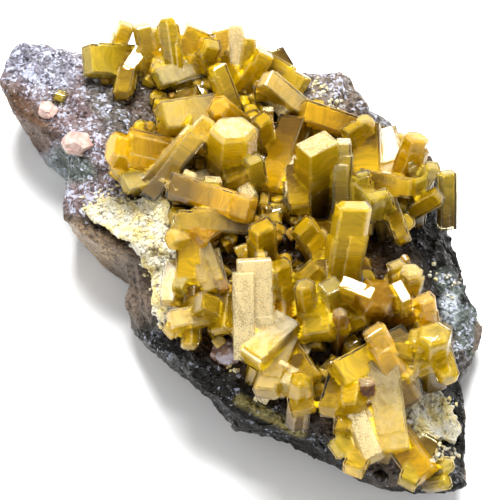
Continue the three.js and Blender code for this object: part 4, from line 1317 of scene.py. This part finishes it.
class SPECIMEN_OT_stage(bpy.types.Operator):
    """Adds the camera, the pale floor and soft studio light"""

    bl_idname = "specimen.stage"
    bl_label = "Stage"

    def execute(self, context):
        scene = context.scene
        settings = scene.specimen_stage
        camera = bpy.data.objects.new("camera", bpy.data.cameras.new("camera"))
        camera.data.sensor_width = SENSOR
        camera.data.lens = LENS
        camera.data.clip_start = 0.01
        camera.data.clip_end = 10
        axes = Matrix((RIGHTWARD, UPWARD, OUTWARD)).transposed().to_4x4()
        camera.matrix_world = Matrix.Translation(EYE) @ axes
        scene.collection.objects.link(camera)
        scene.camera = camera

        mesh = bpy.data.meshes.new("floor")
        corners = [(x * FLOOR_REACH, y * FLOOR_REACH, 0) for x, y in ((-1, -1), (1, -1), (1, 1), (-1, 1))]
        mesh.from_pydata(corners, [], [(0, 1, 2, 3)])
        material, _, shader = new_material("pale floor")
        shader.inputs["Base Color"].default_value = (*settings.floor, 1)
        shader.inputs["Roughness"].default_value = 0.9
        object_from("floor", mesh, material)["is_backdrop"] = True

        self.light(context, "key", heading(*KEY_HEADING), KEY_DISTANCE, KEY_SIZE, settings.key_power)
        self.light(context, "fill", heading(*FILL_HEADING), FILL_DISTANCE, FILL_SIZE, settings.fill_power)
        world = bpy.data.worlds.new("studio")
        world.use_nodes = True
        scene.world = world
        sky = world.node_tree.nodes["Background"]
        sky.inputs["Color"].default_value = (1, 1, 1, 1)
        sky.inputs["Strength"].default_value = settings.sky_strength
        scene.view_settings.view_transform = "Standard"
        scene.view_settings.look = "Medium High Contrast"
        return {"FINISHED"}

    @staticmethod
    def light(context, name, direction, distance, size, power):
        """A square soft light in a direction, turned to the specimen."""
        data = bpy.data.lights.new(name, "AREA")
        data.size = size
        data.energy = power
        lamp = bpy.data.objects.new(name, data)
        lamp.matrix_world = Matrix.Translation(VIEW_TARGET + direction * distance) @ (
            direction.to_track_quat("Z", "Y").to_matrix().to_4x4())
        context.scene.collection.objects.link(lamp)


class SPECIMEN_OT_rock(bpy.types.Operator):
    """Makes the host rock from its solid"""

    bl_idname = "specimen.rock"
    bl_label = "Host rock"

    def execute(self, context):
        settings = context.scene.specimen_rock
        piece = object_from("ore_rock", rock_mesh(settings), rock_material(settings))
        finish_piece(piece, "rock", "host_rock")
        return {"FINISHED"}


class SPECIMEN_OT_crusts(bpy.types.Operator):
    """Makes the pale crusts from their solids"""

    bl_idname = "specimen.crusts"
    bl_label = "Crusts"

    def execute(self, context):
        material = crust_material(context.scene.specimen_rock)
        for node in ("left_crust", "right_crust"):
            piece = object_from(f"sugary_{node}", crust_mesh(node), material)
            finish_piece(piece, "crust", node)
        return {"FINISHED"}


class SPECIMEN_OT_crumbs(bpy.types.Operator):
    """Strews sugary crumbs over the crusts and the rock beside them"""

    bl_idname = "specimen.crumbs"
    bl_label = "Sugary crumbs"

    def execute(self, context):
        settings = context.scene.specimen_rock
        tint = (*settings.crust, 1)
        for name in ("ore_rock", "sugary_left_crust", "sugary_right_crust"):
            forms = crumb_forms(random.Random(settings.crumb_seed))
            mesh = scattered(f"crumbs_on_{name}", crumb_bed(bpy.data.objects[name].data), forms, {
                "Spacing": settings.crumb_spacing, "Density": 3.0e6, "Smallest": 0.4, "Largest": 1.7,
                "Lean": 1.5, "First Tint": tint, "Second Tint": tint, "Seed": settings.crumb_seed,
                "Material": crust_material(settings),
            })
            finish_piece(object_from(f"crumbs_on_{name}", mesh), "crust")
        return {"FINISHED"}


class SPECIMEN_OT_grains(bpy.types.Operator):
    """Makes the spar and the smoky grains from their solids"""

    bl_idname = "specimen.grains"
    bl_label = "Set grains"

    def execute(self, context):
        settings = context.scene.specimen_rock
        looks = {"spar": (spar_material(settings), 2.6 * MM), "smoky": (smoky_material(settings), 2 * MM)}
        for node in ("spar_grain", "spar_chip", "smoky_grain", "smoky_eye"):
            slot = node.split("_")[0]
            material, size = looks[slot]
            piece = object_from(f"cleaved_{node}", grain_mesh(node, size), material)
            finish_piece(piece, slot, node)
        finish_piece(object_from("dark_bead", bead_mesh(), bead_material(settings)), "smoky")
        return {"FINISHED"}


class SPECIMEN_OT_crystals(bpy.types.Operator):
    """Makes the citrine crystals, grown together as one solid"""

    bl_idname = "specimen.crystals"
    bl_label = "Crystals"

    def execute(self, context):
        settings = context.scene.specimen_citrine
        chance = random.Random(settings.seed)
        meshes = [
            mesh for row in CRYSTALS + SMALL_CRYSTALS for mesh in crystal_solids(row, chance, settings)
        ]
        crystals = united("citrine", meshes)
        core = milky_core(crystals, settings)
        piece = object_from("citrine_crystals", crystals, citrine_material(settings))
        finish_piece(piece, "citrine", "crystal_cluster")
        finish_piece(object_from("milky_core", core, heart_material(settings)), "citrine")
        return {"FINISHED"}


CROWD_RIM = 0.12  # the clear rim of a strewn crystal, as a share of its thickness
CROWD_DENSITY = 2.0e5  # most of them to a square metre
CROWD_SCALES = (0.8, 1.7)
CROWD_LEAN = 0.55  # radians
CROWD_FORMS = [  # cross-section, and width, depth and length in mm
    ("block", (2.4, 2.0, 6)),
    ("cut", (2.0, 2.4, 5.6)),
    ("block", (3.0, 1.6, 5.4)),
    ("six", (2.4, 2.2, 6)),
    ("block", (1.7, 1.5, 5)),
    ("cut", (3.0, 2.2, 5.6)),
]


def crystal_and_heart(place, section, size, look, chance, settings, shift=(0, 0), drop_by=0.0):
    """A crystal and the milky heart inside it, as two closed meshes."""
    wide, deep, long = size
    rim = min(settings.clear_rim, CROWD_RIM * min(wide, deep))
    inner = (wide - 2 * rim, deep - 2 * rim, long - 3 * rim)
    outer = crystal_mesh("crystal", place, section, size, look, chance, settings, shift, drop_by)
    sunk = drop_by + rim * chance.uniform(1, 2)
    return outer, crystal_mesh("heart", place, section, inner, look, chance, settings, shift, sunk)


def crowd_forms(settings, chance):
    """The small crystals that are strewn and their hearts, without a colour of their own."""
    for section, size in CROWD_FORMS:
        look = ((1, 1, 1), chance.uniform(0, 0.55), (chance.random(), chance.random(), chance.random()))
        size = [value * MM for value in size]
        pair = crystal_and_heart(Matrix.Identity(4), section, size, look, chance, settings)
        for mesh in pair:
            mesh.attributes.remove(mesh.attributes["tint"])
        yield pair


class SPECIMEN_OT_crowd(bpy.types.Operator):
    """Strews the small crystals that fill the room between the large ones"""

    bl_idname = "specimen.crowd"
    bl_label = "Crowd of small crystals"

    def execute(self, context):
        settings = context.scene.specimen_citrine
        chance = random.Random(settings.seed + 1)
        outer, hearts = zip(*crowd_forms(settings, chance))
        for name, forms, material in (
            ("crystal_crowd", outer, citrine_material(settings)),
            ("crowd_hearts", hearts, heart_material(settings)),
        ):
            mesh = scattered(name, crowd_bed(settings.crowd_depth), forms, {
                "Spacing": settings.crowd_spacing, "Density": CROWD_DENSITY,
                "Smallest": CROWD_SCALES[0], "Largest": CROWD_SCALES[1], "Lean": CROWD_LEAN,
                "First Tint": (*settings.amber, 1), "Second Tint": (*settings.honey, 1),
                "Seed": settings.seed, "Material": material,
            })
            finish_piece(object_from(name, mesh), "citrine")
        return {"FINISHED"}


OPERATORS = (
    SPECIMEN_OT_stage,
    SPECIMEN_OT_rock,
    SPECIMEN_OT_crusts,
    SPECIMEN_OT_crumbs,
    SPECIMEN_OT_grains,
    SPECIMEN_OT_crystals,
    SPECIMEN_OT_crowd,
)


class SPECIMEN_PT_panel(bpy.types.Panel):
    """Lists what the specimen is made of, with its settings"""

    bl_label = "Raw citrine crystal"
    bl_idname = "SPECIMEN_PT_panel"
    bl_space_type = "VIEW_3D"
    bl_region_type = "UI"
    bl_category = "Specimen"

    def draw(self, context):
        for operator in OPERATORS:
            self.layout.operator(operator.bl_idname)
        for name in GROUPS:
            settings = getattr(context.scene, name)
            for prop in settings.bl_rna.properties:
                if prop.identifier not in ("name", "rna_type"):
                    self.layout.prop(settings, prop.identifier)


GROUPS = {
    "specimen_citrine": CitrineSettings,
    "specimen_rock": RockSettings,
    "specimen_stage": StageSettings,
}


def register():
    for name, group in GROUPS.items():
        bpy.utils.register_class(group)
        setattr(bpy.types.Scene, name, PointerProperty(type=group))
    for item in (*OPERATORS, SPECIMEN_PT_panel):
        bpy.utils.register_class(item)


def unregister():
    for item in reversed((*OPERATORS, SPECIMEN_PT_panel)):
        bpy.utils.unregister_class(item)
    for name, group in GROUPS.items():
        delattr(bpy.types.Scene, name)
        bpy.utils.unregister_class(group)


def main():
    register()
    for operator in OPERATORS:
        getattr(bpy.ops.specimen, operator.bl_idname.split(".")[1])()
    sizes = {"cad": CAD_BOX, "visual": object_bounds()}
    plain = {name: [list(corner) for corner in box] for name, box in sizes.items()}


if __name__ == "__main__":
    main()
